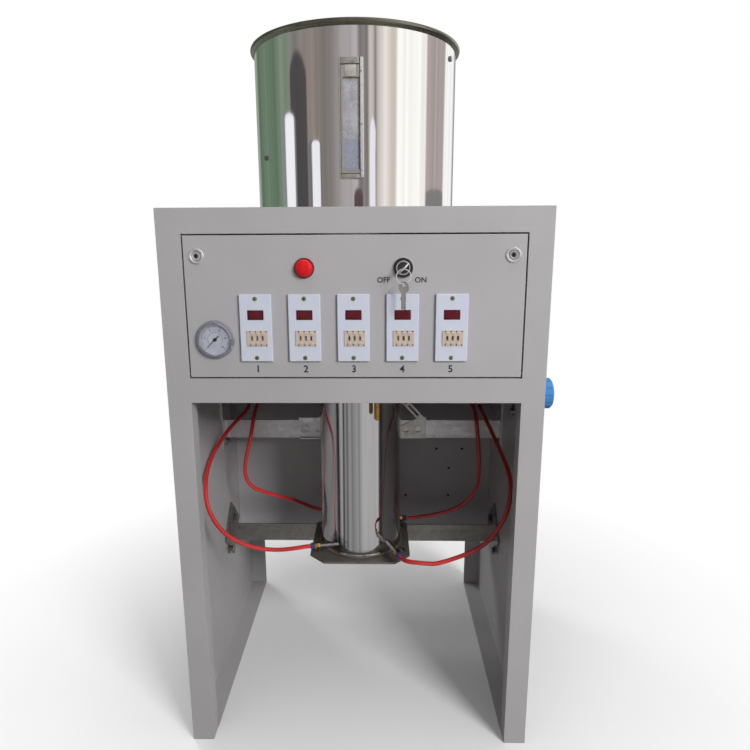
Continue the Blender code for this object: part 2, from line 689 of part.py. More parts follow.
def build_side_panel(name, side):
    def span(near, far):
        return tuple(sorted((side * near, side * far)))

    front = SHEET + GAP
    skin = block(name + "_skin", span(INNER_HALF, HALF_WIDTH), (front, CABINET_DEPTH), (0, SIDE_TOP))
    flange_edge = LEG_HALF + SHEET + GAP
    front_flange = block(
        name + "_front_flange", span(flange_edge, HALF_WIDTH), (front, front + SHEET), (0, SIDE_TOP))
    back_flange = block(
        name + "_back_flange", span(HALF_WIDTH - FLANGE_WIDTH, HALF_WIDTH),
        (CABINET_DEPTH - SHEET, CABINET_DEPTH), (0, SIDE_TOP))
    foot_flange = block(
        name + "_foot_flange", span(HALF_WIDTH - FLANGE_WIDTH, HALF_WIDTH), (LEG_LIP_DEPTH + GAP, CABINET_DEPTH),
        (0, SHEET))
    top_flange = block(
        name + "_top_flange", span(HALF_WIDTH - TOP_FLANGE_WIDTH, HALF_WIDTH), (front, CABINET_DEPTH),
        (SIDE_TOP - SHEET, SIDE_TOP))
    join(skin, front_flange, back_flange, foot_flange, top_flange)
    if side > 0:
        bonnet_hole = rod(
            "bonnet_hole", (INNER_HALF - OVERRUN, REGULATOR_Y, REGULATOR_HEIGHT),
            SHEET + 2 * OVERRUN, BONNET_RADIUS + BORE_CLEARANCE, "X")
        cut(skin, bonnet_hole)
    return as_node(name, skin, "paint")


def build_top_panel():
    panel = block(
        "top_sheet", (-HALF_WIDTH, HALF_WIDTH), (SHEET + GAP, CABINET_DEPTH),
        (CABINET_HEIGHT - SHEET, CABINET_HEIGHT))
    hole = rod(
        "hopper_hole", (HOPPER_X, AXIS_Y, CABINET_HEIGHT - SHEET - OVERRUN), SHEET + 2 * OVERRUN,
        TOP_HOLE_RADIUS, segments=64)
    cut(panel, hole)
    return as_node("top_panel", panel, "paint")


def build_back_plate():
    half = INNER_HALF - GAP
    plate = block(
        "back_sheet", (-half, half), (BACK_PLATE_Y, BACK_PLATE_Y + SHEET), (BACK_PLATE_BOTTOM, BACK_PLATE_TOP))
    for side in (-1, 1):
        edge = block(
            f"back_return_{side}", tuple(sorted((side * (half - SHEET), side * half))),
            (BACK_PLATE_Y, BACK_PLATE_Y + BACK_PLATE_RETURN), (BACK_PLATE_BOTTOM, BACK_PLATE_TOP))
        join(plate, edge)
    holes = [
        (BACK_HOLES_X - BACK_HOLE_SPACING, BACK_HOLES_HIGH), (BACK_HOLES_X + BACK_HOLE_SPACING, BACK_HOLES_HIGH),
        (BACK_HOLES_X, BACK_HOLES_MID), (BACK_HOLES_X, BACK_HOLES_LOW), (BACK_HOLE_FAR, BACK_HOLES_LOW)]
    for number, (x, z) in enumerate(holes):
        cut(plate, through_back(f"back_hole_{number}", x, z, BACK_HOLE_RADIUS, 12))
    cut(plate, through_back("duct_hole", 0, DUCT_HEIGHT, DUCT_RADIUS + GAP, 48))
    inlet_z = RAIL_BOTTOM + RAIL_SIZE / 2
    cut(plate, through_back("inlet_hole", INLET_X, inlet_z, INLET_RADIUS + BORE_CLEARANCE, 24))
    cut(plate, through_back("gland_hole", GLAND_X, GLAND_HEIGHT, GLAND_RADIUS + GAP, 24))
    return as_node("back_plate", plate, "paint")


def through_back(label, x, z, radius, segments):
    return rod(label, (x, BACK_PLATE_Y - OVERRUN, z), SHEET + 2 * OVERRUN, radius, "Y", segments)


def angle_bar(label, bottom):
    # An angle bar across the machine: one leg faces the front, the other runs back from its foot
    half = INNER_HALF - GAP
    bar = block(
        label, (-half, half), (BAR_FRONT_Y, BAR_FRONT_Y + BAR_THICKNESS), (bottom, bottom + BAR_LEG))
    foot = block(
        label + "_foot", (-half, half), (BAR_FRONT_Y, BAR_FRONT_Y + BAR_LEG), (bottom, bottom + BAR_THICKNESS))
    return join(bar, foot)


def build_upper_crossbar():
    bar = angle_bar("upper_bar", UPPER_BAR_BOTTOM)
    outer = INNER_HALF - GAP
    front = BAR_FRONT_Y - UPPER_END_LEAD
    low = UPPER_BAR_BOTTOM - UPPER_END_DROP
    for side in (-1, 1):
        end = block(
            f"upper_end_{side}", tuple(sorted((side * (outer - END_PLATE_THICKNESS), side * outer))),
            (front, front + UPPER_END_WIDTH), (low, low + UPPER_END_HEIGHT))
        join(bar, end)
    return as_node("upper_crossbar", bar, "zinc")


def build_lower_crossbar():
    bar = angle_bar("lower_bar", LOWER_BAR_BOTTOM)
    outer = INNER_HALF - GAP
    centre_y = BAR_FRONT_Y + BAR_LEG / 2
    centre_z = LOWER_BAR_BOTTOM + BAR_LEG / 2
    for side in (-1, 1):
        end = block(
            f"lower_end_{side}", tuple(sorted((side * (outer - END_PLATE_THICKNESS), side * outer))),
            (centre_y - LOWER_END_SIZE / 2, centre_y + LOWER_END_SIZE / 2),
            (centre_z - LOWER_END_SIZE / 2, centre_z + LOWER_END_SIZE / 2))
        end.rotation_euler.x = math.radians(LOWER_END_TILT)
        x = side * LOWER_PAD_SPREAD / 2
        pad = block(
            f"lower_pad_{side}", (x - LOWER_PAD_WIDTH / 2, x + LOWER_PAD_WIDTH / 2),
            (BAR_FRONT_Y, BAR_FRONT_Y + BAR_THICKNESS),
            (LOWER_BAR_BOTTOM + BAR_LEG / 2, BASE_PLATE_BOTTOM - GAP))
        join(bar, end, pad)
    return as_node("lower_crossbar", bar, "zinc")


def barrel_clearance(label, low, high):
    # The space that the barrel takes, with the gap that its neighbours keep
    return rod(label, (0, AXIS_Y, low), high - low, BARREL_RADIUS + GAP, segments=64)


def bracket_holes(side, reach, base):
    holes = []
    for inset in BRACKET_HOLE_INSETS:
        start = (side * (reach - inset), BAR_FRONT_Y - BAR_THICKNESS - OVERRUN, base + BRACKET_HOLE_RISE)
        holes.append(rod(f"bracket_hole_{side}", start, BAR_THICKNESS + OVERRUN, BRACKET_HOLE_RADIUS, "Y"))
    return holes


def build_left_bracket():
    back = BAR_FRONT_Y - GAP
    front = back - BRACKET_THICKNESS
    low = UPPER_BAR_BOTTOM - BRACKET_LIFT
    high = low + BRACKET_HEIGHT
    xs = (-LEFT_BRACKET_REACH, 0)
    plate = block("left_bracket_plate", xs, (front, back), (low, high))
    bottom_lip = block("left_bracket_sill", xs, (front - BRACKET_LIP, back), (low, low + BRACKET_THICKNESS))
    top_lip = block("left_bracket_head", xs, (front - BRACKET_LIP, back), (high - BRACKET_THICKNESS, high))
    join(plate, bottom_lip, top_lip)
    cut(plate, barrel_clearance("left_bracket_saddle", low - OVERRUN, high + OVERRUN))
    cut(plate, *bracket_holes(-1, LEFT_BRACKET_REACH, low))
    return as_node("left_tube_bracket", plate, "zinc")


def build_right_bracket():
    back = BAR_FRONT_Y - GAP
    mid = back - BRACKET_THICKNESS / 2
    low = UPPER_BAR_BOTTOM - BRACKET_LIFT
    reach = RIGHT_BRACKET_REACH
    shoulder = BRACKET_HEIGHT - BRACKET_SLOPE_DROP
    points = [
        (0, 0), (reach, 0), (reach, BRACKET_HEIGHT), (reach - BRACKET_SLOPE_RUN / 4, BRACKET_HEIGHT),
        (reach - BRACKET_SLOPE_RUN, shoulder), (0, shoulder)]
    # The plane of the outline is turned upright, so its second coordinate runs up
    flipped = [(x, -z) for x, z in points]
    plate = outline("right_bracket_plate", flipped, BRACKET_THICKNESS, (0, mid, low), "Y")
    stay = build_stay(mid, low + BRACKET_HEIGHT)
    join(plate, stay)
    cut(plate, barrel_clearance("right_bracket_saddle", low - OVERRUN, low + STAY_LENGTH + BRACKET_HEIGHT))
    cut(plate, *bracket_holes(1, reach, low))
    return as_node("right_tube_bracket", plate, "zinc")


def build_stay(mid, foot_height):
    # A slotted strap that rises from the bracket towards the back of the barrel
    half = STAY_WIDTH / 2
    slots = []
    pitch = STAY_SLOT_LENGTH + STAY_SLOT_WIDTH
    for number in range(2):
        start = STAY_WIDTH + number * pitch
        slots.append([
            (start, -STAY_SLOT_WIDTH / 2), (start + STAY_SLOT_LENGTH, -STAY_SLOT_WIDTH / 2),
            (start + STAY_SLOT_LENGTH, STAY_SLOT_WIDTH / 2), (start, STAY_SLOT_WIDTH / 2)])
    points = [(-half, -half), (STAY_LENGTH, -half), (STAY_LENGTH, half), (-half, half)]
    lean = math.radians(180 - STAY_TILT)

    def leaning(loop):
        return [
            (x * math.cos(lean) - z * math.sin(lean), -(x * math.sin(lean) + z * math.cos(lean)))
            for x, z in loop]

    at = (RIGHT_BRACKET_REACH - half, mid, foot_height - half)
    return outline("stay_strap", leaning(points), BRACKET_THICKNESS, at, "Y", [leaning(slot) for slot in slots])


def build_door():
    half = DOOR_WIDTH / 2
    pan = block("door_pan", (-half, half), (0, DOOR_PAN_DEPTH), (DOOR_BOTTOM, DOOR_TOP), bevel=DOOR_EDGE_ROUND)
    hollow = block(
        "door_hollow", (-half + SHEET, half - SHEET), (DOOR_PLATE, DOOR_PAN_DEPTH + OVERRUN),
        (DOOR_BOTTOM + SHEET, DOOR_TOP - SHEET))
    cut(pan, hollow)
    for number in range(TIMER_COUNT):
        x = timer_x(number)
        wide = TIMER_BODY_WIDTH / 2 + GAP
        tall = TIMER_BODY_HEIGHT / 2 + GAP
        window = block(
            f"timer_cutout_{number}", (x - wide, x + wide), (-OVERRUN, DOOR_PLATE + OVERRUN),
            (TIMER_ROW_HEIGHT - tall, TIMER_ROW_HEIGHT + tall))
        cut(pan, window)
    for label, x, z, radius in (
            ("lamp_hole", LAMP_X, SWITCH_ROW_HEIGHT, LAMP_BODY_RADIUS),
            ("switch_hole", SWITCH_X, SWITCH_ROW_HEIGHT, SWITCH_BODY_RADIUS),
            ("gauge_hole", GAUGE_X, GAUGE_HEIGHT, GAUGE_BODY_RADIUS),
            ("left_lock_hole", -LOCK_X, LOCK_HEIGHT, LOCK_PLUG_RADIUS),
            ("right_lock_hole", LOCK_X, LOCK_HEIGHT, LOCK_PLUG_RADIUS)):
        cut(pan, rod(label, (x, -OVERRUN, z), DOOR_PLATE + 2 * OVERRUN, radius + GAP, "Y", 32))
    pivot_bore = rod(
        "door_pivot_bore", (-half - OVERRUN, PIVOT_AT[1], PIVOT_AT[2]), DOOR_WIDTH + 2 * OVERRUN,
        PIVOT_RADIUS + GAP, "X", 16)
    cut(pan, pivot_bore)
    door = as_node("control_door", pan, "paint")
    move_origin(door, PIVOT_AT)
    return door


def move_origin(obj, point):
    # The origin goes to a joint's axis while the shape stays where it is
    shift = Vector(point) - ANCHORS[obj.name]
    turn_back = obj.rotation_euler.to_matrix().inverted()
    obj.data.transform(Matrix.Translation(turn_back @ -shift))
    obj.location = obj.location + shift
    ANCHORS[obj.name] = Vector(point)


def build_door_pivot(name, side):
    # A headed pin whose shank passes through the door's lip into the frame's lip
    head_outer = DOOR_WIDTH / 2 - SHEET - GAP
    head_inner = head_outer - PIVOT_HEAD_LENGTH
    shank_inner = head_outer - PIVOT_HEAD_LENGTH / 2
    shank_outer = SEAM_HALF + SHEET
    _, y, z = PIVOT_AT
    shank_start = min(side * shank_inner, side * shank_outer)
    shank = rod(name + "_shank", (shank_start, y, z), shank_outer - shank_inner, PIVOT_RADIUS, "X", 16)
    head_start = min(side * head_inner, side * head_outer)
    head = rod(name + "_head", (head_start, y, z), PIVOT_HEAD_LENGTH, PIVOT_HEAD_RADIUS, "X", 16)
    return as_node(name, join(shank, head), "zinc")


def build_lock_plug(name, side, door):
    # A round plug through the door with a driver slot in front and a cam behind, hanging down when unlocked
    x = side * LOCK_X
    length = LOCK_PLUG_PROUD + CAM_Y + CAM_THICKNESS
    plug = rod(name + "_core", (x, -LOCK_PLUG_PROUD, LOCK_HEIGHT), length, LOCK_PLUG_RADIUS, "Y", 32, door)
    cam = block(
        name + "_cam", (x - CAM_WIDTH / 2, x + CAM_WIDTH / 2), (CAM_Y, CAM_Y + CAM_THICKNESS),
        (LOCK_HEIGHT - CAM_LENGTH, LOCK_HEIGHT), door)
    slot = block(
        name + "_slot", (x - LOCK_SLOT_WIDTH / 2, x + LOCK_SLOT_WIDTH / 2),
        (-LOCK_PLUG_PROUD - OVERRUN, -LOCK_PLUG_PROUD + LOCK_SLOT_DEPTH),
        (LOCK_HEIGHT - LOCK_SLOT_LENGTH / 2, LOCK_HEIGHT + LOCK_SLOT_LENGTH / 2), door)
    return as_node(name, cut(join(plug, cam), slot), "chrome")


def build_pilot_lamp(door):
    at = (LAMP_X, 0, SWITCH_ROW_HEIGHT)
    lens_bore = LAMP_BODY_RADIUS / 2
    rim = LAMP_RIM_THICKNESS
    proud = LAMP_LENS_PROUD
    wide = LAMP_LENS_RADIUS
    # The turning axis runs towards the back, so the dome sits at the low end of the profile
    body = [
        (0, LAMP_BODY_LENGTH), (LAMP_BODY_RADIUS, LAMP_BODY_LENGTH), (LAMP_BODY_RADIUS, -GAP),
        (lens_bore, -GAP), (lens_bore, -rim - GAP), (0, -rim - GAP)]
    lens = [
        (wide, -GAP * 2), *[(wide * across, -proud * out) for across, out in LAMP_DOME_SHARES],
        (0, -rim - 2 * GAP), (lens_bore + GAP, -rim - 2 * GAP), (lens_bore + GAP, -GAP * 2)]
    body_obj = turned("lamp_core", body, at, "Y", 32, door)
    lens_obj = turned("lamp_dome", lens, at, "Y", 32, door)
    as_node("pilot_lamp_body", body_obj, "black_plastic")
    as_node("pilot_lamp_lens", lens_obj, "red_lens")


def build_key_switch(door):
    at = (SWITCH_X, 0, SWITCH_ROW_HEIGHT)
    bore = SWITCH_BARREL_RADIUS + GAP
    floor = SWITCH_BARREL_LENGTH + GAP
    body = [
        (0, SWITCH_BODY_LENGTH), (SWITCH_BODY_RADIUS, SWITCH_BODY_LENGTH), (SWITCH_BODY_RADIUS, -GAP),
        (SWITCH_RING_RADIUS, -GAP), (SWITCH_RING_RADIUS, -SWITCH_RING_PROUD * SWITCH_RING_EDGE_SHARE),
        (SWITCH_RING_RADIUS - SWITCH_RING_BEVEL, -SWITCH_RING_PROUD), (bore, -SWITCH_RING_PROUD),
        (bore, floor), (0, floor)]
    as_node("key_switch_body", turned("switch_core", body, at, "Y", 40, door), "black_plastic")

    front = -SWITCH_RING_PROUD - SWITCH_BARREL_PROUD
    barrel = rod(
        "barrel_core", (SWITCH_X, front, SWITCH_ROW_HEIGHT), SWITCH_BARREL_LENGTH - front,
        SWITCH_BARREL_RADIUS, "Y", 32, door)
    slot_half = KEY_THICKNESS / 2 + KEY_SLOT_CLEARANCE
    slot_tall = KEY_BLADE_WIDTH / 2 + KEY_SLOT_CLEARANCE
    slot = block(
        "barrel_slot", (SWITCH_X - slot_half, SWITCH_X + slot_half), (front - OVERRUN, KEY_BLADE_DEPTH + GAP),
        (SWITCH_ROW_HEIGHT - slot_tall, SWITCH_ROW_HEIGHT + slot_tall), door)
    slot.rotation_euler.y = math.radians(KEY_ANGLE)
    node = as_node("key_switch_barrel", cut(barrel, slot), "chrome")
    move_origin(node, at)


def key_hole_place():
    # The hole of the inserted key's bow, which lies on the switch's axis
    return -KEY_REACH + KEY_BOW_RADIUS - KEY_HOLE_OFFSET


def build_switch_key(door):
    # The key's flat side is its own plane, turned with the barrel about the switch's axis
    at = (SWITCH_X, 0, SWITCH_ROW_HEIGHT)
    bow_y = -KEY_REACH + KEY_BOW_RADIUS
    half = KEY_THICKNESS / 2
    blade = block(
        "key_blade", (SWITCH_X - half, SWITCH_X + half), (bow_y, KEY_BLADE_DEPTH),
        (SWITCH_ROW_HEIGHT - KEY_BLADE_WIDTH / 2, SWITCH_ROW_HEIGHT + KEY_BLADE_WIDTH / 2), door)
    bow = rod(
        "key_bow", (SWITCH_X - half, bow_y, SWITCH_ROW_HEIGHT), KEY_THICKNESS, KEY_BOW_RADIUS, "X", 28, door)
    hole = rod(
        "key_hole", (SWITCH_X - half - OVERRUN, key_hole_place(), SWITCH_ROW_HEIGHT),
        KEY_THICKNESS + 2 * OVERRUN, KEY_HOLE_RADIUS, "X", 20, door)
    for piece in (blade, bow, hole):
        move_origin(piece, at)
        piece.rotation_euler.y = math.radians(KEY_ANGLE)
    as_node("switch_key", cut(join(blade, bow), hole), "chrome")


def ring_top():
    return (SWITCH_X, key_hole_place(), SWITCH_ROW_HEIGHT - RING_DROP)


def build_key_ring(door):
    x, y, z = ring_top()
    bpy.ops.mesh.primitive_torus_add(
        major_segments=28, minor_segments=6, major_radius=RING_RADIUS, minor_radius=RING_WIRE_RADIUS,
        rotation=(math.radians(90), 0, 0))
    made = bpy.context.object
    mesh = made.data
    mesh.transform(Matrix.Rotation(math.radians(90), 4, "X"))
    mesh.transform(Matrix.Translation((0, 0, -RING_RADIUS)))
    bpy.data.objects.remove(made, do_unlink=True)
    as_node("key_ring", stock("ring_wire", mesh, (x, y, z), door), "chrome")


def build_spare_key(door):
    x, y, top = ring_top()
    wire_z = top - 2 * RING_RADIUS
    half = KEY_THICKNESS / 2
    hole_z = wire_z - SPARE_HOLE_LIFT
    bow_z = hole_z - SPARE_HOLE_OFFSET
    bow = rod("spare_bow", (x - half, y, bow_z), KEY_THICKNESS, SPARE_BOW_RADIUS, "X", 28, door)
    blade_half = KEY_BLADE_WIDTH / 2
    blade = block(
        "spare_blade", (x - half, x + half), (y - blade_half, y + blade_half),
        (bow_z - SPARE_BOW_RADIUS - SPARE_BLADE_LENGTH, bow_z), door)
    hole = rod(
        "spare_hole", (x - half - OVERRUN, y, hole_z), KEY_THICKNESS + 2 * OVERRUN, KEY_HOLE_RADIUS, "X", 20,
        door)
    for piece in (bow, blade, hole):
        move_origin(piece, (x, y, wire_z))
        piece.rotation_euler.z = math.radians(SPARE_TURN)
    as_node("spare_key", cut(join(bow, blade), hole), "chrome")


def build_gauge(door):
    at = (GAUGE_X, 0, GAUGE_HEIGHT)
    dial_y = -GAUGE_PROUD + GAUGE_DIAL_DEPTH
    rim = GAUGE_FLANGE_THICKNESS
    case = [
        (0, GAUGE_BODY_LENGTH), (GAUGE_BODY_RADIUS, GAUGE_BODY_LENGTH), (GAUGE_BODY_RADIUS, -GAP),
        (GAUGE_FLANGE_RADIUS, -GAP), (GAUGE_FLANGE_RADIUS, -rim), (GAUGE_BODY_RADIUS, -rim - GAP),
        (GAUGE_BODY_RADIUS, -GAUGE_PROUD), (GAUGE_DIAL_RADIUS, -GAUGE_PROUD), (GAUGE_DIAL_RADIUS, dial_y),
        (0, dial_y)]
    as_node("gauge_case", turned("gauge_shell", case, at, "Y", 48, door), "chrome")
    build_needle(door, dial_y)


def build_needle(door, dial_y):
    # The pointer stands on the dial at zero: tip low on the left, tail high on the right
    x, z = GAUGE_X, GAUGE_HEIGHT
    half = NEEDLE_WIDTH / 2
    blade_front = dial_y - NEEDLE_LIFT - NEEDLE_THICKNESS
    hub = rod("needle_hub", (x, blade_front, z), dial_y - GAP - blade_front, NEEDLE_HUB_RADIUS, "Y", 16, door)
    points = [
        (-half, -NEEDLE_TAIL), (half, -NEEDLE_TAIL), (half, 0), (half / 3, NEEDLE_LENGTH),
        (-half / 3, NEEDLE_LENGTH), (-half, 0)]
    turn = math.radians(NEEDLE_ZERO_ANGLE)
    aimed = [
        (a * math.cos(turn) + b * math.sin(turn), -(-a * math.sin(turn) + b * math.cos(turn)))
        for a, b in points]
    blade = outline(
        "needle_blade", aimed, NEEDLE_THICKNESS, (x, blade_front + NEEDLE_THICKNESS / 2, z), "Y", carrier=door)
    node = as_node("gauge_needle", join(hub, blade), "needle_black")
    move_origin(node, (x, dial_y, z))


def timer_x(number):
    return TIMER_ROW_LEFT + TIMER_WIDTH / 2 + number * TIMER_PITCH


def build_timer(number, door):
    name = f"timer_{number + 1}"
    x = timer_x(number)
    z = TIMER_ROW_HEIGHT
    face = block(
        name + "_face", (x - TIMER_WIDTH / 2, x + TIMER_WIDTH / 2), (-TIMER_PROUD, -GAP),
        (z - TIMER_HEIGHT / 2, z + TIMER_HEIGHT / 2), door, bevel=TIMER_EDGE_ROUND)
    body = block(
        name + "_body", (x - TIMER_BODY_WIDTH / 2, x + TIMER_BODY_WIDTH / 2),
        (-TIMER_PROUD / 2, TIMER_BODY_DEPTH), (z - TIMER_BODY_HEIGHT / 2, z + TIMER_BODY_HEIGHT / 2), door)
    display = block(
        name + "_display", (x - DISPLAY_WIDTH / 2, x + DISPLAY_WIDTH / 2),
        (-TIMER_PROUD - OVERRUN, -TIMER_PROUD + DISPLAY_RECESS),
        (z + DISPLAY_RISE - DISPLAY_HEIGHT / 2, z + DISPLAY_RISE + DISPLAY_HEIGHT / 2), door)
    wheel_z = z - WHEEL_DROP
    window = block(
        name + "_window", (x - WHEEL_WINDOW_WIDTH / 2, x + WHEEL_WINDOW_WIDTH / 2), (-TIMER_PROUD - OVERRUN, 0),
        (wheel_z - WHEEL_WINDOW_HEIGHT / 2, wheel_z + WHEEL_WINDOW_HEIGHT / 2), door)
    room_front = -TIMER_PROUD + WHEEL_FACE_WALL
    room_half = WHEEL_WINDOW_WIDTH / 2 + GAP
    room_tall = WHEEL_RADIUS + BORE_CLEARANCE
    room = block(
        name + "_room", (x - room_half, x + room_half), (room_front, room_front + 2 * room_tall),
        (wheel_z - room_tall, wheel_z + room_tall), door)
    cut(join(face, body), display, window, room)
    as_node(name, face, "pale_plastic")

    axle_y = room_front + room_tall
    as_node(name + "_wheels", wheel_drum(name + "_drum", (x, axle_y, wheel_z), door), "digit_plastic")


def wheel_drum(label, at, door):
    # Three digit wheels side by side on one shaft, parted by narrow grooves
    length = WHEEL_WINDOW_WIDTH
    wheel = (length - (WHEEL_COUNT - 1) * WHEEL_GROOVE_WIDTH) / WHEEL_COUNT
    deep = WHEEL_RADIUS - WHEEL_GROOVE
    low = -length / 2
    rising = [(0, low)]
    for number in range(WHEEL_COUNT):
        start = low + number * (wheel + WHEEL_GROOVE_WIDTH)
        rising += [(WHEEL_RADIUS, start), (WHEEL_RADIUS, start + wheel)]
        if number < WHEEL_COUNT - 1:
            rising += [(deep, start + wheel), (deep, start + wheel + WHEEL_GROOVE_WIDTH)]
    rising.append((0, -low))
    return turned(label, rising[::-1], at, "X", WHEEL_DIGITS, door)


def about_hopper(width):
    return (HOPPER_X - width / 2, HOPPER_X + width / 2)


def build_hopper_shell():
    foot_z = CABINET_HEIGHT + GAP
    inner = HOPPER_RADIUS - HOPPER_WALL
    bead_z = HOPPER_TOP - RIM_BEAD_RADIUS
    bead_x = HOPPER_RADIUS + HOPPER_WALL
    bead = []
    for step in range(RIM_BEAD_STEPS):
        angle = math.radians(RIM_BEAD_START_ANGLE - RIM_BEAD_SWEEP * step / (RIM_BEAD_STEPS - 1))
        bead.append((bead_x + RIM_BEAD_RADIUS * math.cos(angle), bead_z + RIM_BEAD_RADIUS * math.sin(angle)))
    profile = [(inner, bead_z), *bead, (HOPPER_RADIUS, bead_z - RIM_BEAD_RADIUS), (HOPPER_RADIUS, foot_z)]
    profile += [(inner - HOPPER_FOOT_WIDTH, foot_z), (inner - HOPPER_FOOT_WIDTH, foot_z + SHEET)]
    profile += [(inner, foot_z + SHEET)]
    shell = turned("hopper_wall", profile, (HOPPER_X, AXIS_Y, 0), steps=72)
    slot = block(
        "window_slot", about_hopper(WINDOW_SLOT_WIDTH),
        (AXIS_Y - HOPPER_RADIUS - OVERRUN, AXIS_Y - inner + OVERRUN),
        (PANE_BOTTOM + WINDOW_LIP, PANE_TOP - WINDOW_LIP))
    cut(shell, slot)
    return as_node("hopper_shell", shell, "mirror_steel")


def build_hopper_cone():
    top_radius = CONE_TOP_RADIUS
    wall = HOPPER_WALL
    profile = [
        (top_radius, CONE_TOP), (NECK_RADIUS, CONE_BOTTOM), (NECK_RADIUS, NECK_BOTTOM),
        (NECK_RADIUS - wall, NECK_BOTTOM), (NECK_RADIUS - wall, CONE_BOTTOM + wall / 2),
        (top_radius - 2 * wall, CONE_TOP)]
    return as_node("hopper_cone", turned("cone_wall", profile, (HOPPER_X, AXIS_Y, 0), steps=64), "brushed_steel")


def build_sight_window():
    # A shallow channel round the slot, its back cut to the curve of the hopper wall
    face_y = AXIS_Y - HOPPER_RADIUS - WINDOW_PROUD
    seat_y = AXIS_Y - HOPPER_RADIUS + OVERRUN
    frame = block(
        "window_channel", about_hopper(WINDOW_WIDTH), (face_y, seat_y), (WINDOW_BOTTOM, WINDOW_TOP))
    wall_space = rod(
        "window_saddle", (HOPPER_X, AXIS_Y, WINDOW_BOTTOM - OVERRUN), WINDOW_TOP - WINDOW_BOTTOM + 2 * OVERRUN,
        HOPPER_RADIUS + GAP, segments=72)
    pane_y = face_y + WINDOW_LIP
    pocket = block(
        "pane_pocket", about_hopper(PANE_WIDTH + 2 * GAP), (pane_y, seat_y + OVERRUN),
        (PANE_BOTTOM - GAP, PANE_TOP + GAP))
    opening = block(
        "pane_opening", about_hopper(WINDOW_SLOT_WIDTH), (face_y - OVERRUN, seat_y + OVERRUN),
        (PANE_BOTTOM + WINDOW_LIP, PANE_TOP - WINDOW_LIP))
    cut(frame, wall_space, pocket, opening)
    as_node("sight_window_frame", frame, "brushed_steel")
    pane = block(
        "pane_sheet", about_hopper(PANE_WIDTH), (pane_y + GAP, pane_y + GAP + PANE_THICKNESS),
        (PANE_BOTTOM, PANE_TOP))
    as_node("sight_window_pane", pane, "clear_pane")


def build_barrel():
    top, bottom = BARREL_TOP, BARREL_BOTTOM
    inner = BARREL_RADIUS - BARREL_WALL
    profile = [
        (BARREL_RADIUS, top), (BARREL_RADIUS, bottom + WELD_SIZE), (BARREL_RADIUS + WELD_SIZE, bottom),
        (inner, bottom), (inner, top)]
    barrel = turned("barrel_tube", profile, (0, AXIS_Y, 0), steps=64)
    port = rod("duct_port", (0, AXIS_Y, DUCT_HEIGHT), BARREL_RADIUS + OVERRUN, DUCT_RADIUS - DUCT_WALL, "Y", 48)
    cut(barrel, port)
    return as_node("peeling_barrel", barrel, "mirror_steel")


def build_base_plate():
    half = BASE_PLATE_SIZE / 2
    inset = half - BASE_PLATE_CHAMFER
    points = [
        (-inset, -half), (inset, -half), (half, -inset), (half, inset), (inset, half), (-inset, half),
        (-half, inset), (-half, -inset)]
    plate = outline(
        "base_octagon", points, PLATE_THICKNESS, (0, AXIS_Y, BASE_PLATE_TOP - PLATE_THICKNESS / 2),
        holes=[ring_points(BASE_HOLE_RADIUS, 48), ring_points(
            GATE_PIN_RADIUS + BORE_CLEARANCE, 16, (DISCHARGE_PIVOT_X, DISCHARGE_PIVOT_BACK))])
    return as_node("barrel_base_plate", plate, "brushed_steel")


def build_feed_flange():
    points = [
        (-FEED_FLANGE_LEFT, -FEED_FLANGE_FRONT), (FEED_FLANGE_RIGHT, -FEED_FLANGE_FRONT),
        (FEED_FLANGE_RIGHT, FEED_FLANGE_BACK), (-FEED_FLANGE_LEFT, FEED_FLANGE_BACK)]
    plate = outline(
        "feed_plate", points, PLATE_THICKNESS, (0, AXIS_Y, FEED_FLANGE_BOTTOM + PLATE_THICKNESS / 2),
        holes=[ring_points(FEED_HOLE_RADIUS, 48, (HOPPER_X, 0)), ring_points(
            GATE_PIN_RADIUS + BORE_CLEARANCE, 16, (FEED_PIVOT_REACH, 0))])
    return as_node("feed_flange", plate, "brushed_steel")


def build_gate(name, centre_x, pivot, disc_radius, bottom, actuator_top):
    # A round blade that swings about an upright pin at its rim, keyed to the actuator below it
    x, y = pivot
    disc = rod(name + "_disc", (centre_x, AXIS_Y, bottom), GATE_THICKNESS, disc_radius, segments=48)
    boss = rod(name + "_boss", (x, y, bottom), GATE_THICKNESS, GATE_BOSS_RADIUS, segments=24)
    reach = math.hypot(x, y - AXIS_Y)
    arm = block(
        name + "_arm", (-reach / 2, reach / 2), (-GATE_BOSS_RADIUS, GATE_BOSS_RADIUS),
        (bottom, bottom + GATE_THICKNESS))
    arm.location = arm.location + Vector((x / 2, (y + AXIS_Y) / 2, 0))
    arm.rotation_euler.z = math.atan2(y - AXIS_Y, x)
    pin_foot = actuator_top - GATE_PIN_LENGTH
    pin = rod(
        name + "_pin", (x, y, pin_foot), bottom + GATE_THICKNESS - pin_foot, GATE_PIN_RADIUS, segments=16)
    join(boss, arm, disc, pin)
    return as_node(name, boss, "brushed_steel")


def actuator_body(label, pivot, top):
    # A round swing actuator with a blind bore for the gate's pin
    x, y = pivot
    bore = GATE_PIN_RADIUS + GAP
    floor = -GATE_PIN_LENGTH - ACTUATOR_BORE_FLOOR
    profile = [
        (bore, 0), (ACTUATOR_RADIUS, 0), (ACTUATOR_RADIUS, -ACTUATOR_LENGTH), (0, -ACTUATOR_LENGTH), (0, floor),
        (bore, floor)]
    return turned(label, profile, (x, y, top), steps=32)


def build_feed_gate():
    pivot = (FEED_PIVOT_REACH, AXIS_Y)
    top = FEED_FLANGE_BOTTOM - GAP
    build_gate("feed_gate", HOPPER_X, pivot, FEED_DISC_RADIUS, FEED_FLANGE_TOP + GAP, top)
    as_node("feed_actuator", actuator_body("feed_actuator_core", pivot, top), "zinc")


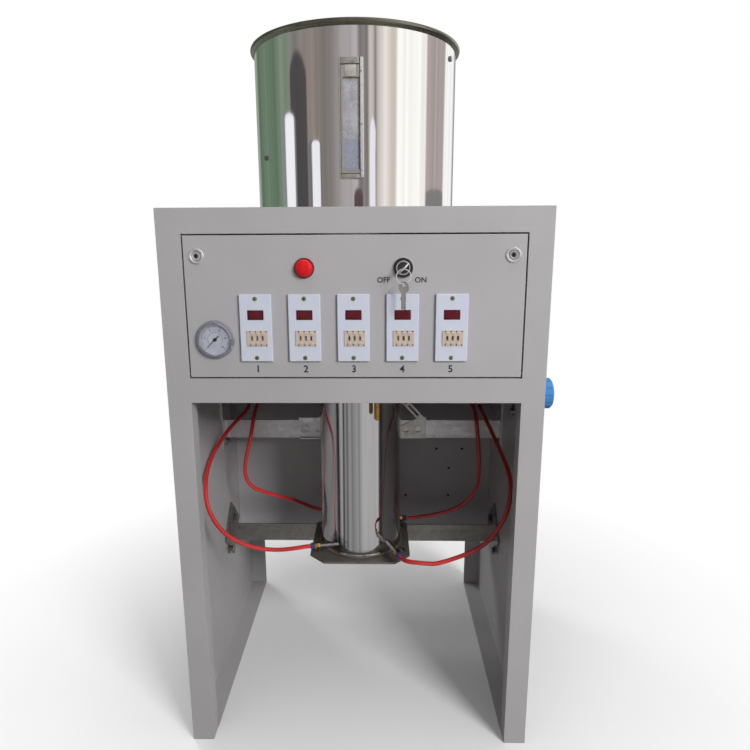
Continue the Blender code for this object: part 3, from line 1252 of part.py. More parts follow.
def build_discharge_gate():
    pivot = (DISCHARGE_PIVOT_X, AXIS_Y + DISCHARGE_PIVOT_BACK)
    bottom = BASE_PLATE_BOTTOM - GAP - GATE_THICKNESS
    top = bottom - GAP
    build_gate("discharge_gate", 0, pivot, DISCHARGE_DISC_RADIUS, bottom, top)
    body = actuator_body("discharge_actuator_core", pivot, top)
    arm_top = top - GATE_THICKNESS
    arm = block(
        "discharge_actuator_arm", (pivot[0] - ACTUATOR_ARM_WIDTH / 2, pivot[0] + ACTUATOR_ARM_WIDTH / 2),
        (pivot[1] + ACTUATOR_RADIUS / 2, BAR_FRONT_Y - GAP), (arm_top - ACTUATOR_ARM_HEIGHT, arm_top))
    as_node("discharge_actuator", join(body, arm), "zinc")


def build_feed_valve():
    half = VALVE_WIDTH / 2
    valve = block(
        "valve_body", (VALVE_X - half, VALVE_X + half), (VALVE_Y - half, VALVE_Y + half),
        (VALVE_BOTTOM, FEED_FLANGE_BOTTOM - GAP), bevel=SHEET)
    bore = rod(
        "valve_port", (VALVE_X, VALVE_Y, VALVE_BOTTOM - OVERRUN), OVERRUN + SILENCER_NECK_LENGTH + GAP,
        SILENCER_NECK_RADIUS + GAP, segments=16)
    as_node("feed_valve", cut(valve, bore), "grey_plastic")
    low = -SILENCER_LENGTH
    profile = [
        (0, SILENCER_NECK_LENGTH), (SILENCER_NECK_RADIUS, SILENCER_NECK_LENGTH), (SILENCER_NECK_RADIUS, -GAP),
        (SILENCER_RADIUS, -GAP), (SILENCER_RADIUS, low + SILENCER_RADIUS / 2),
        (SILENCER_RADIUS / 2, low), (0, low)]
    silencer = turned("silencer_body", profile, (VALVE_X, VALVE_Y, VALVE_BOTTOM), steps=24)
    as_node("exhaust_silencer", silencer, "brass")


def build_skin_duct():
    # The duct meets the barrel wall in a saddle cut and ends in a flange behind the back plate
    end = DUCT_BACK_Y - AXIS_Y
    inner = DUCT_RADIUS - DUCT_WALL
    profile = [
        (DUCT_FLANGE_RADIUS, end), (DUCT_FLANGE_RADIUS, end - DUCT_FLANGE_THICKNESS),
        (DUCT_RADIUS, end - DUCT_FLANGE_THICKNESS), (DUCT_RADIUS, BARREL_RADIUS / 2), (inner, BARREL_RADIUS / 2),
        (inner, end)]
    duct = turned("duct_tube", profile, (0, AXIS_Y, DUCT_HEIGHT), "Y", 48)
    saddle = barrel_clearance("duct_saddle", DUCT_HEIGHT - DUCT_FLANGE_RADIUS, DUCT_HEIGHT + DUCT_FLANGE_RADIUS)
    return as_node("skin_duct", cut(duct, saddle), "brushed_steel")


def build_air_rail():
    back = BACK_PLATE_Y - GAP
    mid_y = back - RAIL_SIZE / 2
    mid_z = RAIL_BOTTOM + RAIL_SIZE / 2
    rail = block(
        "rail_bar", (-RAIL_LENGTH / 2, RAIL_LENGTH / 2), (back - RAIL_SIZE, back),
        (RAIL_BOTTOM, RAIL_BOTTOM + RAIL_SIZE), bevel=SHEET)
    for side in (-1, 1):
        for place_share in (-0.5, 0.5):
            x = side * OUTLET_CENTRE + place_share * OUTLET_SPACING
            outlet = rod(
                f"outlet_{side}_{place_share}", (x, mid_y, RAIL_BOTTOM - OUTLET_LENGTH),
                OUTLET_LENGTH + RAIL_SIZE / 2, OUTLET_RADIUS, segments=16)
            join(rail, outlet)
    inlet_end = BACK_PLATE_Y + INLET_LENGTH
    inlet = rod("inlet_stub", (INLET_X, mid_y, mid_z), inlet_end - mid_y, INLET_RADIUS, "Y", 24)
    nut = rod(
        "inlet_nut", (INLET_X, inlet_end - INLET_NUT_LENGTH, mid_z), INLET_NUT_LENGTH, INLET_NUT_RADIUS, "Y", 6)
    bore = rod(
        "inlet_bore", (INLET_X, inlet_end - INLET_LENGTH / 2, mid_z), INLET_LENGTH, INLET_BORE_RADIUS, "Y", 16)
    cut(join(rail, inlet, nut), bore)
    return as_node("air_rail", rail, "brushed_steel")


def build_valve_bank():
    # A row of solenoid coils on a common base, fixed to the front of the back plate
    back = BACK_PLATE_Y - GAP
    half = VALVE_BANK_WIDTH / 2
    base = block(
        "bank_base", (VALVE_BANK_X - half, VALVE_BANK_X + half), (back - VALVE_BANK_DEPTH, back),
        (VALVE_BANK_BOTTOM, VALVE_BANK_BOTTOM + VALVE_BANK_HEIGHT))
    pitch = VALVE_BANK_WIDTH / COIL_COUNT
    for number in range(COIL_COUNT):
        x = VALVE_BANK_X + (number - (COIL_COUNT - 1) / 2) * pitch
        coil = block(
            f"coil_{number}", (x - COIL_WIDTH / 2, x + COIL_WIDTH / 2), (back - COIL_DEPTH, back - SHEET),
            (VALVE_BANK_BOTTOM + VALVE_BANK_HEIGHT / 2, VALVE_BANK_BOTTOM + VALVE_BANK_HEIGHT + COIL_HEIGHT))
        join(base, coil)
    return as_node("valve_bank", base, "grey_plastic")


def build_cable_gland():
    # A gland through the back plate, its dome nut to the back
    front = -GLAND_THREAD_LENGTH
    back = GLAND_LENGTH
    shoulder = SHEET + GAP
    profile = [
        (GLAND_DOME_RADIUS * GLAND_DOME_SHARE, back),
        (GLAND_DOME_RADIUS, back - GLAND_DOME_RADIUS * GLAND_DOME_SHARE),
        (GLAND_DOME_RADIUS, shoulder + GLAND_NUT_LENGTH), (GLAND_NUT_RADIUS, shoulder + GLAND_NUT_LENGTH),
        (GLAND_NUT_RADIUS, shoulder), (GLAND_RADIUS, shoulder), (GLAND_RADIUS, front),
        (GLAND_BORE_RADIUS, front), (GLAND_BORE_RADIUS, back)]
    gland = turned("gland_body", profile, (GLAND_X, BACK_PLATE_Y, GLAND_HEIGHT), "Y", 24)
    return as_node("cable_gland", gland, "black_plastic")


def build_regulator():
    inner = INNER_HALF - GAP
    half = REGULATOR_SIZE / 2
    body = block(
        "regulator_block", (inner - REGULATOR_DEPTH, inner), (REGULATOR_Y - half, REGULATOR_Y + half),
        (REGULATOR_HEIGHT - half, REGULATOR_HEIGHT + half), bevel=SHEET)
    bonnet_end = KNOB_INNER_X + KNOB_BORE_DEPTH - 2 * GAP
    bonnet = rod(
        "regulator_bonnet", (inner - REGULATOR_DEPTH / 2, REGULATOR_Y, REGULATOR_HEIGHT),
        bonnet_end - inner + REGULATOR_DEPTH / 2, BONNET_RADIUS, "X")
    as_node("regulator_body", join(body, bonnet), "black_plastic")

    bore = BONNET_RADIUS + GAP
    profile = [
        (0, KNOB_LENGTH), (KNOB_RADIUS - KNOB_BEVEL, KNOB_LENGTH), (KNOB_RADIUS, KNOB_LENGTH - KNOB_BEVEL),
        (KNOB_RADIUS, KNOB_BEVEL), (KNOB_RADIUS - KNOB_BEVEL, 0), (bore, 0), (bore, KNOB_BORE_DEPTH),
        (0, KNOB_BORE_DEPTH)]
    knob = turned("knob_cap", profile, (KNOB_INNER_X, REGULATOR_Y, REGULATOR_HEIGHT), "X", 48)
    for number in range(KNOB_FLUTES):
        angle = 2 * math.pi * number / KNOB_FLUTES
        reach = KNOB_RADIUS + KNOB_FLUTE_RADIUS / 3
        y = REGULATOR_Y + reach * math.cos(angle)
        z = REGULATOR_HEIGHT + reach * math.sin(angle)
        flute_start = (KNOB_INNER_X + KNOB_FLUTE_START, y, z)
        flute = rod(f"knob_flute_{number}", flute_start, KNOB_LENGTH, KNOB_FLUTE_RADIUS, "X", 9)
        cut(knob, flute)
    as_node("regulator_knob", knob, "blue_plastic")


def nozzle_line(name):
    # Where a nozzle's stem leaves the barrel, and the way it points
    quarter, height, _ = NOZZLES[name]
    offset = BARREL_RADIUS * NOZZLE_SIDE_SHARES[name]
    root = math.sqrt(BARREL_RADIUS ** 2 - offset ** 2)
    side_turn = math.radians(90 * quarter)
    turn = side_turn + math.radians(NOZZLE_TURNS[name])
    start = Matrix.Rotation(side_turn, 3, "Z") @ Vector((root, offset, 0)) + Vector((0, AXIS_Y, height))
    return start, turn


def nozzle_ahead(turn):
    return Vector((math.cos(turn), math.sin(turn), 0))


def build_nozzle(name):
    # A straight stem set nearly along the barrel's tangent, with a hexagon nut and a push-in collar at its end
    _, height, length = NOZZLES[name]
    start, turn = nozzle_line(name)
    ahead = nozzle_ahead(turn)
    nut_end = length - NOZZLE_COLLAR_LENGTH
    stem_length = nut_end - NOZZLE_NUT_LENGTH / 2
    stem = rod("stem_" + name, (0, 0, 0), stem_length + NOZZLE_STEM_RADIUS, NOZZLE_STEM_RADIUS, "X", 16)
    nut = rod("nut_" + name, (0, 0, 0), NOZZLE_NUT_LENGTH, NOZZLE_NUT_RADIUS, "X", 6)
    collar = rod(
        "collar_" + name, (0, 0, 0), NOZZLE_COLLAR_LENGTH + NOZZLE_NUT_LENGTH / 3, NOZZLE_COLLAR_RADIUS, "X", 16)
    collar_start = nut_end - NOZZLE_NUT_LENGTH / 3
    for piece, along in (
            (stem, -NOZZLE_STEM_RADIUS), (nut, nut_end - NOZZLE_NUT_LENGTH), (collar, collar_start)):
        place(piece, start + ahead * along)
        piece.rotation_euler.z = turn
    saddle = barrel_clearance("saddle_" + name, height - 2 * NOZZLE_NUT_RADIUS, height + 2 * NOZZLE_NUT_RADIUS)
    as_node(name, cut(join(stem, nut, collar), saddle), "brass")


def smooth_route(points, spacing):
    # A smooth curve through the chosen points, read at even steps, with a straight run at both ends
    route = [Vector(point) for point in points]
    dense = []
    for before, here, there, after in zip(route, route[1:], route[2:], route[3:]):
        leave = (there - before) / 2
        arrive = (after - here) / 2
        span = (there - here).length
        leave = leave * (span / max(leave.length, MERGE))
        arrive = arrive * (span / max(arrive.length, MERGE))
        for step in range(16):
            t = step / 16
            dense.append(
                here * (2 * t ** 3 - 3 * t ** 2 + 1) + leave * (t ** 3 - 2 * t ** 2 + t)
                + there * (3 * t ** 2 - 2 * t ** 3) + arrive * (t ** 3 - t ** 2))
    dense.append(route[-2])
    total = sum((b - a).length for a, b in zip(dense, dense[1:]))
    count = max(2, round(total / spacing))
    even = [dense[0]]
    walked = 0.0
    for first, second in zip(dense, dense[1:]):
        length = (second - first).length
        while len(even) < count and walked + length >= total * len(even) / count:
            share = (total * len(even) / count - walked) / length
            even.append(first.lerp(second, share))
        walked += length
    return [route[0], *even, route[-2], route[-1]]


def hose_route(name):
    # Straight out of the outlet, along the chosen points, and straight into the nozzle's collar
    nozzle, side, place_share = HOSE_ENDS[name]
    start, turn = nozzle_line(nozzle)
    ahead = nozzle_ahead(turn)
    tip = start + ahead * (NOZZLES[nozzle][2] + GAP)
    outlet = Vector((
        side * OUTLET_CENTRE + place_share * OUTLET_SPACING, BACK_PLATE_Y - GAP - RAIL_SIZE / 2,
        RAIL_BOTTOM - OUTLET_LENGTH - GAP))
    way = outlet - tip
    middle = [
        tip + Vector((way.x * across, way.y * deep, way.z * up))
        for across, deep, up in HOSE_ROUTE_SHARES[name]]
    return [outlet, outlet - Vector((0, 0, HOSE_LEAD_OUT)), *middle, tip + ahead * HOSE_LEAD_IN, tip]


def build_hose(name):
    curve = bpy.data.curves.new(name, "CURVE")
    curve.dimensions = "3D"
    curve.bevel_depth = HOSE_RADIUS
    curve.bevel_resolution = 2
    curve.use_fill_caps = True
    route = smooth_route(hose_route(name), HOSE_POINT_SPACING)
    spline = curve.splines.new("POLY")
    spline.points.add(len(route) - 1)
    for point, place_at in zip(spline.points, route):
        point.co = (*place_at, 1)
    as_node(name, stock(name + "_line", curve, (0, 0, 0)), "red_hose")


def build_cabinet():
    build_front_frame()
    build_side_panel("left_side_panel", -1)
    build_side_panel("right_side_panel", 1)
    build_top_panel()
    build_back_plate()
    build_upper_crossbar()
    build_lower_crossbar()
    build_left_bracket()
    build_right_bracket()


def build_control_door():
    door = build_door()
    build_door_pivot("left_door_pivot", -1)
    build_door_pivot("right_door_pivot", 1)
    build_lock_plug("left_lock_plug", -1, door)
    build_lock_plug("right_lock_plug", 1, door)
    build_pilot_lamp(door)
    build_key_switch(door)
    build_switch_key(door)
    build_key_ring(door)
    build_spare_key(door)
    build_gauge(door)
    for number in range(TIMER_COUNT):
        build_timer(number, door)


def build_product_path():
    build_hopper_shell()
    build_hopper_cone()
    build_sight_window()
    build_feed_flange()
    build_feed_gate()
    build_feed_valve()
    build_barrel()
    build_base_plate()
    build_discharge_gate()
    build_skin_duct()


def build_air_system():
    build_air_rail()
    build_valve_bank()
    build_cable_gland()
    build_regulator()
    for name in NOZZLES:
        build_nozzle(name)
    for name in HOSE_ROUTE_SHARES:
        build_hose(name)


build_cabinet()
build_control_door()
build_product_path()
build_air_system()
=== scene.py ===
"""The looks of the garlic peeling machine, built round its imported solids. All lengths are in metres."""

import math

import bmesh
import bpy
from mathutils import Matrix, Vector


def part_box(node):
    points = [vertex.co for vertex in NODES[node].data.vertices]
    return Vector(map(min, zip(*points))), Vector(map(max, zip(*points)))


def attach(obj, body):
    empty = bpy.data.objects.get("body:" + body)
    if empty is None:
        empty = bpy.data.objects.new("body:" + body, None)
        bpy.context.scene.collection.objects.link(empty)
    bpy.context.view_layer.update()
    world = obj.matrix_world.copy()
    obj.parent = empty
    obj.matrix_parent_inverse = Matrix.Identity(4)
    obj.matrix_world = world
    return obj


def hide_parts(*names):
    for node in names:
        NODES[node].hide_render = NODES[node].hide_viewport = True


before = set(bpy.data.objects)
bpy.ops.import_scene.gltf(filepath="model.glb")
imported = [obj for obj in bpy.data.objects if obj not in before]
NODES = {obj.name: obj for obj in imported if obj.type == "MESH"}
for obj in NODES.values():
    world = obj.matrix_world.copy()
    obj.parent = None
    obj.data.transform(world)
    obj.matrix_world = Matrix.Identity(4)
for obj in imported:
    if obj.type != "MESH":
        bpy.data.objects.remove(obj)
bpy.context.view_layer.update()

# Places below are written from the middle of the cabinet's front foot, as in the part's own source
SHIFT = Vector((-0.01065, -0.2365, 0))
GAP = 0.0003
# Trim stands this far off the face behind it, and a weld is let into its wall by as much
SEAT = 0.00005
TINY = 1e-6
FRONT = (0, -1, 0)
BACK = (0, 1, 0)

HOPPER_AXIS = (-0.004, 0.226)
HOPPER_RADIUS = 0.1706
HOPPER_INNER = 0.1691
BARREL_AXIS = (0, 0.226)
BARREL_RADIUS = 0.0785
TIMER_XS = (-0.1476, -0.07455, -0.0015, 0.07155, 0.1446)
TIMER_Z = 0.7296
WHEEL_Z = 0.7145
TIMER_FACE = -0.0045


def at(x, y, z):
    return Vector((x, y, z)) + SHIFT


# Camera: its pitch, yaw and roll are in degrees

CAMERA_TURNS = (12.217, -1.2316, -0.2736)
CAMERA_LENS = 28.957
CAMERA_SHIFTS = (0.01183, -0.00312)
CAMERA_PLACE = Vector((0.02555, -1.1334, 0.8551))


def make_camera():
    pitch, yaw, roll = (math.radians(angle) for angle in CAMERA_TURNS)
    ahead = Vector((math.sin(yaw) * math.cos(pitch), math.cos(yaw) * math.cos(pitch), -math.sin(pitch)))
    right = Vector((math.cos(yaw), -math.sin(yaw), 0))
    up = right.cross(ahead)
    across = right * math.cos(roll) + up * math.sin(roll)
    above = up * math.cos(roll) - right * math.sin(roll)
    camera = bpy.data.cameras.new("camera")
    camera.sensor_width = 36
    camera.lens = CAMERA_LENS
    camera.shift_x, camera.shift_y = CAMERA_SHIFTS
    camera.clip_start = 0.01
    obj = bpy.data.objects.new("camera", camera)
    bpy.context.scene.collection.objects.link(obj)
    turn = Matrix((across, above, -ahead)).transposed().to_4x4()
    obj.matrix_world = Matrix.Translation(CAMERA_PLACE) @ turn
    bpy.context.scene.camera = obj


make_camera()


# Hoses: straight out of the rail's outlet, along the chosen points, straight into the nozzle's collar

HOSE_RADIUS = 0.004
HOSE_SPACING = 0.017
HOSE_ROUTES = {
    "front": [
        (-0.245, 0.3922, 0.5697), (-0.245, 0.3922, 0.5537), (-0.2430, 0.3700, 0.5300),
        (-0.2410, 0.3350, 0.5130), (-0.2485, 0.2970, 0.5045), (-0.2660, 0.2520, 0.4870),
        (-0.2780, 0.2050, 0.4665), (-0.2805, 0.1550, 0.4475), (-0.2765, 0.1180, 0.4235),
        (-0.2680, 0.1000, 0.3895), (-0.2500, 0.1040, 0.3490), (-0.2270, 0.1170, 0.3200),
        (-0.2045, 0.1270, 0.3035), (-0.1810, 0.1350, 0.2935), (-0.1500, 0.1420, 0.2880),
        (-0.1200, 0.1467, 0.2892), (-0.10064, 0.1507, 0.2905), (-0.09182, 0.15251, 0.2905)],
    "left": [
        (-0.227, 0.3922, 0.5697), (-0.227, 0.3922, 0.5537), (-0.2255, 0.3710, 0.5310),
        (-0.2235, 0.3360, 0.5135), (-0.2225, 0.3000, 0.5030), (-0.2245, 0.2810, 0.4760),
        (-0.2305, 0.2680, 0.4435), (-0.2360, 0.2620, 0.4145), (-0.2365, 0.2620, 0.3890),
        (-0.2280, 0.2670, 0.3655), (-0.2090, 0.2785, 0.3480), (-0.1790, 0.3000, 0.3275),
        (-0.1560, 0.3200, 0.3115), (-0.1355, 0.3365, 0.2955), (-0.1177, 0.3465, 0.2825),
        (-0.1050, 0.3503, 0.2762), (-0.0924, 0.3475, 0.2745), (-0.0820, 0.3396, 0.2785),
        (-0.07568, 0.32656, 0.283), (-0.07381, 0.31775, 0.283)],
    "right": [
        (0.245, 0.3922, 0.5697), (0.245, 0.3922, 0.5537), (0.2465, 0.3730, 0.5310),
        (0.2500, 0.3380, 0.5130), (0.2535, 0.2970, 0.5030), (0.2615, 0.2600, 0.4830),
        (0.2695, 0.2000, 0.4605), (0.2740, 0.1550, 0.4417), (0.2745, 0.1300, 0.4220),
        (0.2680, 0.1100, 0.3940), (0.2542, 0.1020, 0.3620), (0.2300, 0.1000, 0.3285),
        (0.2015, 0.1000, 0.3085), (0.1700, 0.0990, 0.2955), (0.1400, 0.0950, 0.2885),
        (0.1200, 0.0895, 0.2915), (0.1061, 0.0883, 0.2935), (0.0949, 0.0905, 0.2935),
        (0.0849, 0.0971, 0.2920), (0.07837, 0.10712, 0.2905), (0.075, 0.11546, 0.2905)],
    "back": [
        (0.227, 0.3922, 0.5697), (0.227, 0.3922, 0.5537), (0.2310, 0.3720, 0.5310),
        (0.2360, 0.3360, 0.5130), (0.2360, 0.3000, 0.5030), (0.2380, 0.2850, 0.4680),
        (0.2415, 0.2800, 0.4270), (0.2425, 0.2800, 0.3920), (0.2395, 0.2800, 0.3625),
        (0.2282, 0.2820, 0.3355), (0.2030, 0.2860, 0.3100), (0.1684, 0.2890, 0.2950),
        (0.1300, 0.2898, 0.2865), (0.10179, 0.28998, 0.283), (0.09279, 0.28998, 0.283)],
}


def smooth_route(points):
    route = [Vector(point) for point in points]
    dense = []
    for before, here, there, after in zip(route, route[1:], route[2:], route[3:]):
        leave = (there - before) / 2
        arrive = (after - here) / 2
        span = (there - here).length
        leave = leave * (span / leave.length)
        arrive = arrive * (span / arrive.length)
        for step in range(16):
            t = step / 16
            dense.append(
                here * (2 * t ** 3 - 3 * t ** 2 + 1) + leave * (t ** 3 - 2 * t ** 2 + t)
                + there * (3 * t ** 2 - 2 * t ** 3) + arrive * (t ** 3 - t ** 2))
    dense.append(route[-2])
    total = sum((b - a).length for a, b in zip(dense, dense[1:]))
    count = max(2, round(total / HOSE_SPACING))
    even = [dense[0]]
    walked = 0.0
    for first, second in zip(dense, dense[1:]):
        length = (second - first).length
        while len(even) < count and walked + length >= total * len(even) / count:
            share = (total * len(even) / count - walked) / length
            even.append(first.lerp(second, share))
        walked += length
    return [route[0], *even, route[-2], route[-1]]


def make_hose(name, points):
    route = [point + SHIFT for point in smooth_route(points)]
    curve = bpy.data.curves.new("hose_line_" + name, "CURVE")
    curve.dimensions = "3D"
    curve.bevel_depth = 1.0
    curve.bevel_resolution = 5
    curve.resolution_u = 6
    curve.use_fill_caps = True
    spline = curve.splines.new("BEZIER")
    spline.bezier_points.add(len(route) - 1)
    for point, place in zip(spline.bezier_points, route):
        point.co = place
        point.radius = HOSE_RADIUS
        point.handle_left_type = "AUTO"
        point.handle_right_type = "AUTO"
    obj = bpy.data.objects.new("air_hose_" + name, curve)
    bpy.context.scene.collection.objects.link(obj)
    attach(obj, "cabinet")
    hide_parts("hose_" + name)
    return obj


HOSES = [make_hose(name, points) for name, points in HOSE_ROUTES.items()]


# Materials


def linear(red, green, blue):
    def one(value):
        share = value / 255
        return share / 12.92 if share <= 0.04045 else ((share + 0.055) / 1.055) ** 2.4

    return (one(red), one(green), one(blue), 1.0)


def scaled(colour, factor):
    return (*[min(1.0, channel * factor) for channel in colour[:3]], 1.0)


class Graph:
    """Shader nodes, added one by one. An input is a number, a colour or another node's output."""

    def __init__(self, tree):
        self.tree = tree

    def feed(self, socket, value):
        if isinstance(value, bpy.types.NodeSocket):
            self.tree.links.new(value, socket)
        else:
            socket.default_value = value

    def add(self, kind, inputs=(), **settings):
        """The outputs of a new node, its inputs given in order or under their names."""
        node = self.tree.nodes.new("ShaderNode" + kind)
        for name, value in settings.items():
            setattr(node, name, value)
        for key, value in inputs.items() if isinstance(inputs, dict) else enumerate(inputs):
            self.feed(node.inputs[key], value)
        return node.outputs

    def math(self, kind, first, second=0.0, clamp=False):
        return self.add("Math", (first, second), operation=kind, use_clamp=clamp)[0]

    def share(self, kind, first, second):
        """A sum, product or maximum, held between 0 and 1."""
        return self.math(kind, first, second, clamp=True)

    def spread(self, value, low, high, start=0.0, end=1.0):
        """Where the value lies between low and high, as a number from start to end."""
        return self.add("MapRange", (value, low, high, start, end))["Result"]

    def mix(self, share, first, second):
        return self.add("Mix", {0: share, 6: first, 7: second}, data_type="RGBA")[2]

    def azimuth(self, place):
        """Angle round the machine's upright axis: zero to the front, growing to the right."""
        split = self.add("SeparateXYZ", (place,))
        return self.math("ARCTAN2", split["X"], self.math("MULTIPLY", split["Y"], -1.0))

    def bands(self, turn, stops):
        """Colours listed by their angles in degrees, blended from stop to stop."""
        ramp = self.tree.nodes.new("ShaderNodeValToRGB")
        elements = ramp.color_ramp.elements
        while len(elements) > 1:
            elements.remove(elements[-1])
        for index, (angle, colour) in enumerate(stops):
            element = elements.new((angle + 180) / 360) if index else elements[0]
            element.position = (angle + 180) / 360
            element.color = (*colour, 1)
        self.feed(ramp.inputs[0], self.spread(turn, -math.pi, math.pi))
        return ramp.outputs["Color"]


class Look(Graph):
    """One procedural material, built up layer by layer on a Principled shader."""

    def __init__(self, name, metal=0.0, **sockets):
        self.material = bpy.data.materials.new(name)
        self.material.use_nodes = True
        super().__init__(self.material.node_tree)
        self.shader = self.tree.nodes["Principled BSDF"]
        for socket, value in {"Metallic": metal, **sockets}.items():
            self.shader.inputs[socket.replace("_", " ")].default_value = value
        self.place = self.add("TexCoord")["Object"]
        self.normal = None

    def noise(self, scale, stretch=(1, 1, 1), detail=3.0, rough=0.5):
        spot = self.add("Mapping", {"Vector": self.place, "Scale": stretch})["Vector"]
        inputs = {"Vector": spot, "Scale": scale, "Detail": detail, "Roughness": rough}
        return self.add("TexNoise", inputs)["Fac"]

    def shades(self, pattern, full, dark, light, low=0.3, high=0.7):
        """The full colour, made darker and lighter by a pattern."""
        return self.mix(self.spread(pattern, low, high), scaled(full, dark), scaled(full, light))

    def over(self, tone, pattern, low, high, most, colour):
        """The tone, and up to the most of a colour over it where the pattern goes from low to high."""
        return self.mix(self.spread(pattern, low, high, 0, most), tone, colour)

    def colour(self, value):
        self.feed(self.shader.inputs["Base Color"], value)

    def rough(self, value):
        self.feed(self.shader.inputs["Roughness"], value)

    def bend(self, normal):
        self.normal = normal
        self.feed(self.shader.inputs["Normal"], normal)

    def edges(self, radius):
        """A share that is high near sharp edges: where the rounded normal leaves the true one."""
        self.bend(self.add("Bevel", {"Radius": radius}, samples=4)["Normal"])
        true = self.add("NewGeometry")["Normal"]
        dot = self.add("VectorMath", (self.normal, true), operation="DOT_PRODUCT")["Value"]
        return self.spread(dot, 0.995, 0.85)

    def bump(self, height, strength, distance):
        inputs = {"Height": height, "Strength": strength, "Distance": distance}
        if self.normal is not None:
            inputs["Normal"] = self.normal
        self.bend(self.add("Bump", inputs)["Normal"])


def paint_look():
    look = Look("painted_sheet", Coat_Weight=0.12, Coat_Roughness=0.3)
    full = linear(177, 175, 177)
    edge = look.edges(0.0009)
    tone = look.shades(look.noise(7, detail=4), full, 0.955, 1.03)
    tone = look.over(tone, look.noise(900, detail=1), 0.66, 0.8, 0.35, scaled(full, 0.8))
    scuffs = look.noise(24, (1, 1, 5), detail=6, rough=0.7)
    tone = look.over(tone, scuffs, 0.66, 0.74, 0.3, scaled(full, 0.86))
    # Edges are lighter: partly worn paint, partly a painted highlight along the rounded edges
    look.colour(look.over(tone, edge, 0, 1, 0.45, scaled(full, 1.25)))
    look.rough(look.spread(look.noise(60), 0.3, 0.7, 0.36, 0.5))
    look.bump(look.noise(520, detail=2), 0.10, 0.0004)
    return look.material


def mirror_look():
    look = Look("mirror_steel_wall", metal=1.0)
    grain = look.noise(55, (1, 1, 0.02), detail=5, rough=0.65)
    smudge = look.noise(9, (1, 1, 0.6), detail=5, rough=0.6)
    look.colour(look.shades(grain, linear(226, 224, 220), 0.93, 1))
    base_rough = look.spread(smudge, 0.4, 0.75, 0.02, 0.075)
    look.rough(look.share("ADD", base_rough, look.spread(grain, 0.5, 0.75, 0.0, 0.03)))
    look.bump(look.noise(5.5, (1, 1, 0.35), detail=1), 0.3, 0.006)
    look.bump(look.noise(260, (1, 1, 0.015)), 0.05, 0.0004)
    return look.material


def barrel_look():
    """Polished tube: long polishing lines, and heat marks round the front nozzle and the weld at the foot."""
    look = Look("polished_barrel", metal=1.0)
    grain = look.noise(75, (1, 1, 0.015), detail=6, rough=0.7)
    ragged = look.noise(160, detail=4)
    tone = look.shades(grain, linear(232, 230, 230), 0.84, 1, 0.32, 0.68)
    nozzle = look.add("VectorMath", (look.place, at(-0.043, 0.160, 0.2905)), operation="DISTANCE")["Value"]
    ring = look.share("ADD", nozzle, look.spread(ragged, 0.2, 0.8, -0.006, 0.006))
    tone = look.over(tone, ring, 0.024, 0.009, 0.75, linear(62, 56, 62))
    height = look.add("SeparateXYZ", (look.place,))["Z"]
    weld = look.share("ADD", height, look.spread(ragged, 0.2, 0.8, -0.003, 0.003))
    look.colour(look.over(tone, weld, 0.286, 0.277, 0.5, linear(120, 108, 96)))
    base_rough = look.spread(grain, 0.35, 0.75, 0.03, 0.11)
    look.rough(look.share("ADD", base_rough, look.spread(weld, 0.286, 0.277, 0, 0.05)))
    look.bump(look.noise(9, (1, 1, 0.25), detail=1), 0.12, 0.003)
    look.bump(look.noise(300, (1, 1, 0.012)), 0.05, 0.0003)
    return look.material


def brushed_look(name, tone, stretch, roughness=(0.24, 0.42), spots=0.0, edge_wear_and_highlight=1.2, metal=1.0):
    look = Look(name, metal=metal)
    full = linear(*tone)
    edge = look.edges(0.0006)
    lines = look.noise(420, stretch, detail=4, rough=0.7)
    tone_now = look.shades(lines, full, 0.86, 1.05)
    tone_now = look.over(tone_now, look.noise(18, detail=4), 0.4, 0.75, 0.35, scaled(full, 0.75))
    if spots:
        stains = look.noise(70, detail=6, rough=0.75)
        tone_now = look.over(tone_now, stains, 0.6, 0.7, spots, scaled(full, 0.45))
    # Edges are lighter by the given factor: partly wear, partly a painted highlight along the rounded edges
    look.colour(look.over(tone_now, edge, 0, 1, 0.5, scaled(full, edge_wear_and_highlight)))
    look.rough(look.spread(lines, 0.3, 0.7, *roughness))
    look.bump(lines, 0.12, 0.0003)
    return look.material


def zinc_look(name, tone, metal=0.85):
    look = Look(name, metal=metal)
    full = linear(*tone)
    edge = look.edges(0.0006)
    spangle = look.add("TexVoronoi", {"Vector": look.place, "Scale": 95})["Color"]
    streak = look.noise(60, (0.08, 1, 1), detail=5, rough=0.7)
    tone_now = look.shades(look.add("SeparateColor", (spangle,))["Red"], full, 0.86, 1.06, 0, 1)
    tone_now = look.over(tone_now, streak, 0.5, 0.78, 0.55, scaled(full, 0.62))
    # Edges are lighter: partly wear, partly a painted highlight along the rounded edges
    look.colour(look.over(tone_now, edge, 0, 1, 0.4, scaled(full, 1.2)))
    look.rough(look.spread(streak, 0.3, 0.75, 0.34, 0.58))
    look.bump(look.noise(340, detail=2), 0.12, 0.0003)
    return look.material


def turned_look(name, tone, roughness, dirt=0.5, scale=500, metal=1.0):
    """A small plated or turned metal piece with fine tool lines and some dirt."""
    look = Look(name, metal=metal)
    full = linear(*tone)
    fine = look.noise(scale)
    patch = look.noise(120, detail=5, rough=0.7)
    look.colour(look.over(look.shades(fine, full, 0.9, 1), patch, 0.52, 0.7, dirt, scaled(full, 0.42)))
    look.rough(look.spread(patch, 0.3, 0.7, *roughness))
    look.bump(fine, 0.05, 0.0002)
    return look.material


def plastic_look(name, tone, roughness=(0.4, 0.55), grain=0.1, mottling=0.06, **sockets):
    look = Look(name, **sockets)
    fine = look.noise(1300, detail=2)
    look.colour(look.shades(look.noise(90, detail=4), linear(*tone), 1 - mottling, 1 + mottling))
    look.rough(look.spread(fine, 0.3, 0.7, *roughness))
    look.bump(fine, grain, 0.0002)
    return look.material


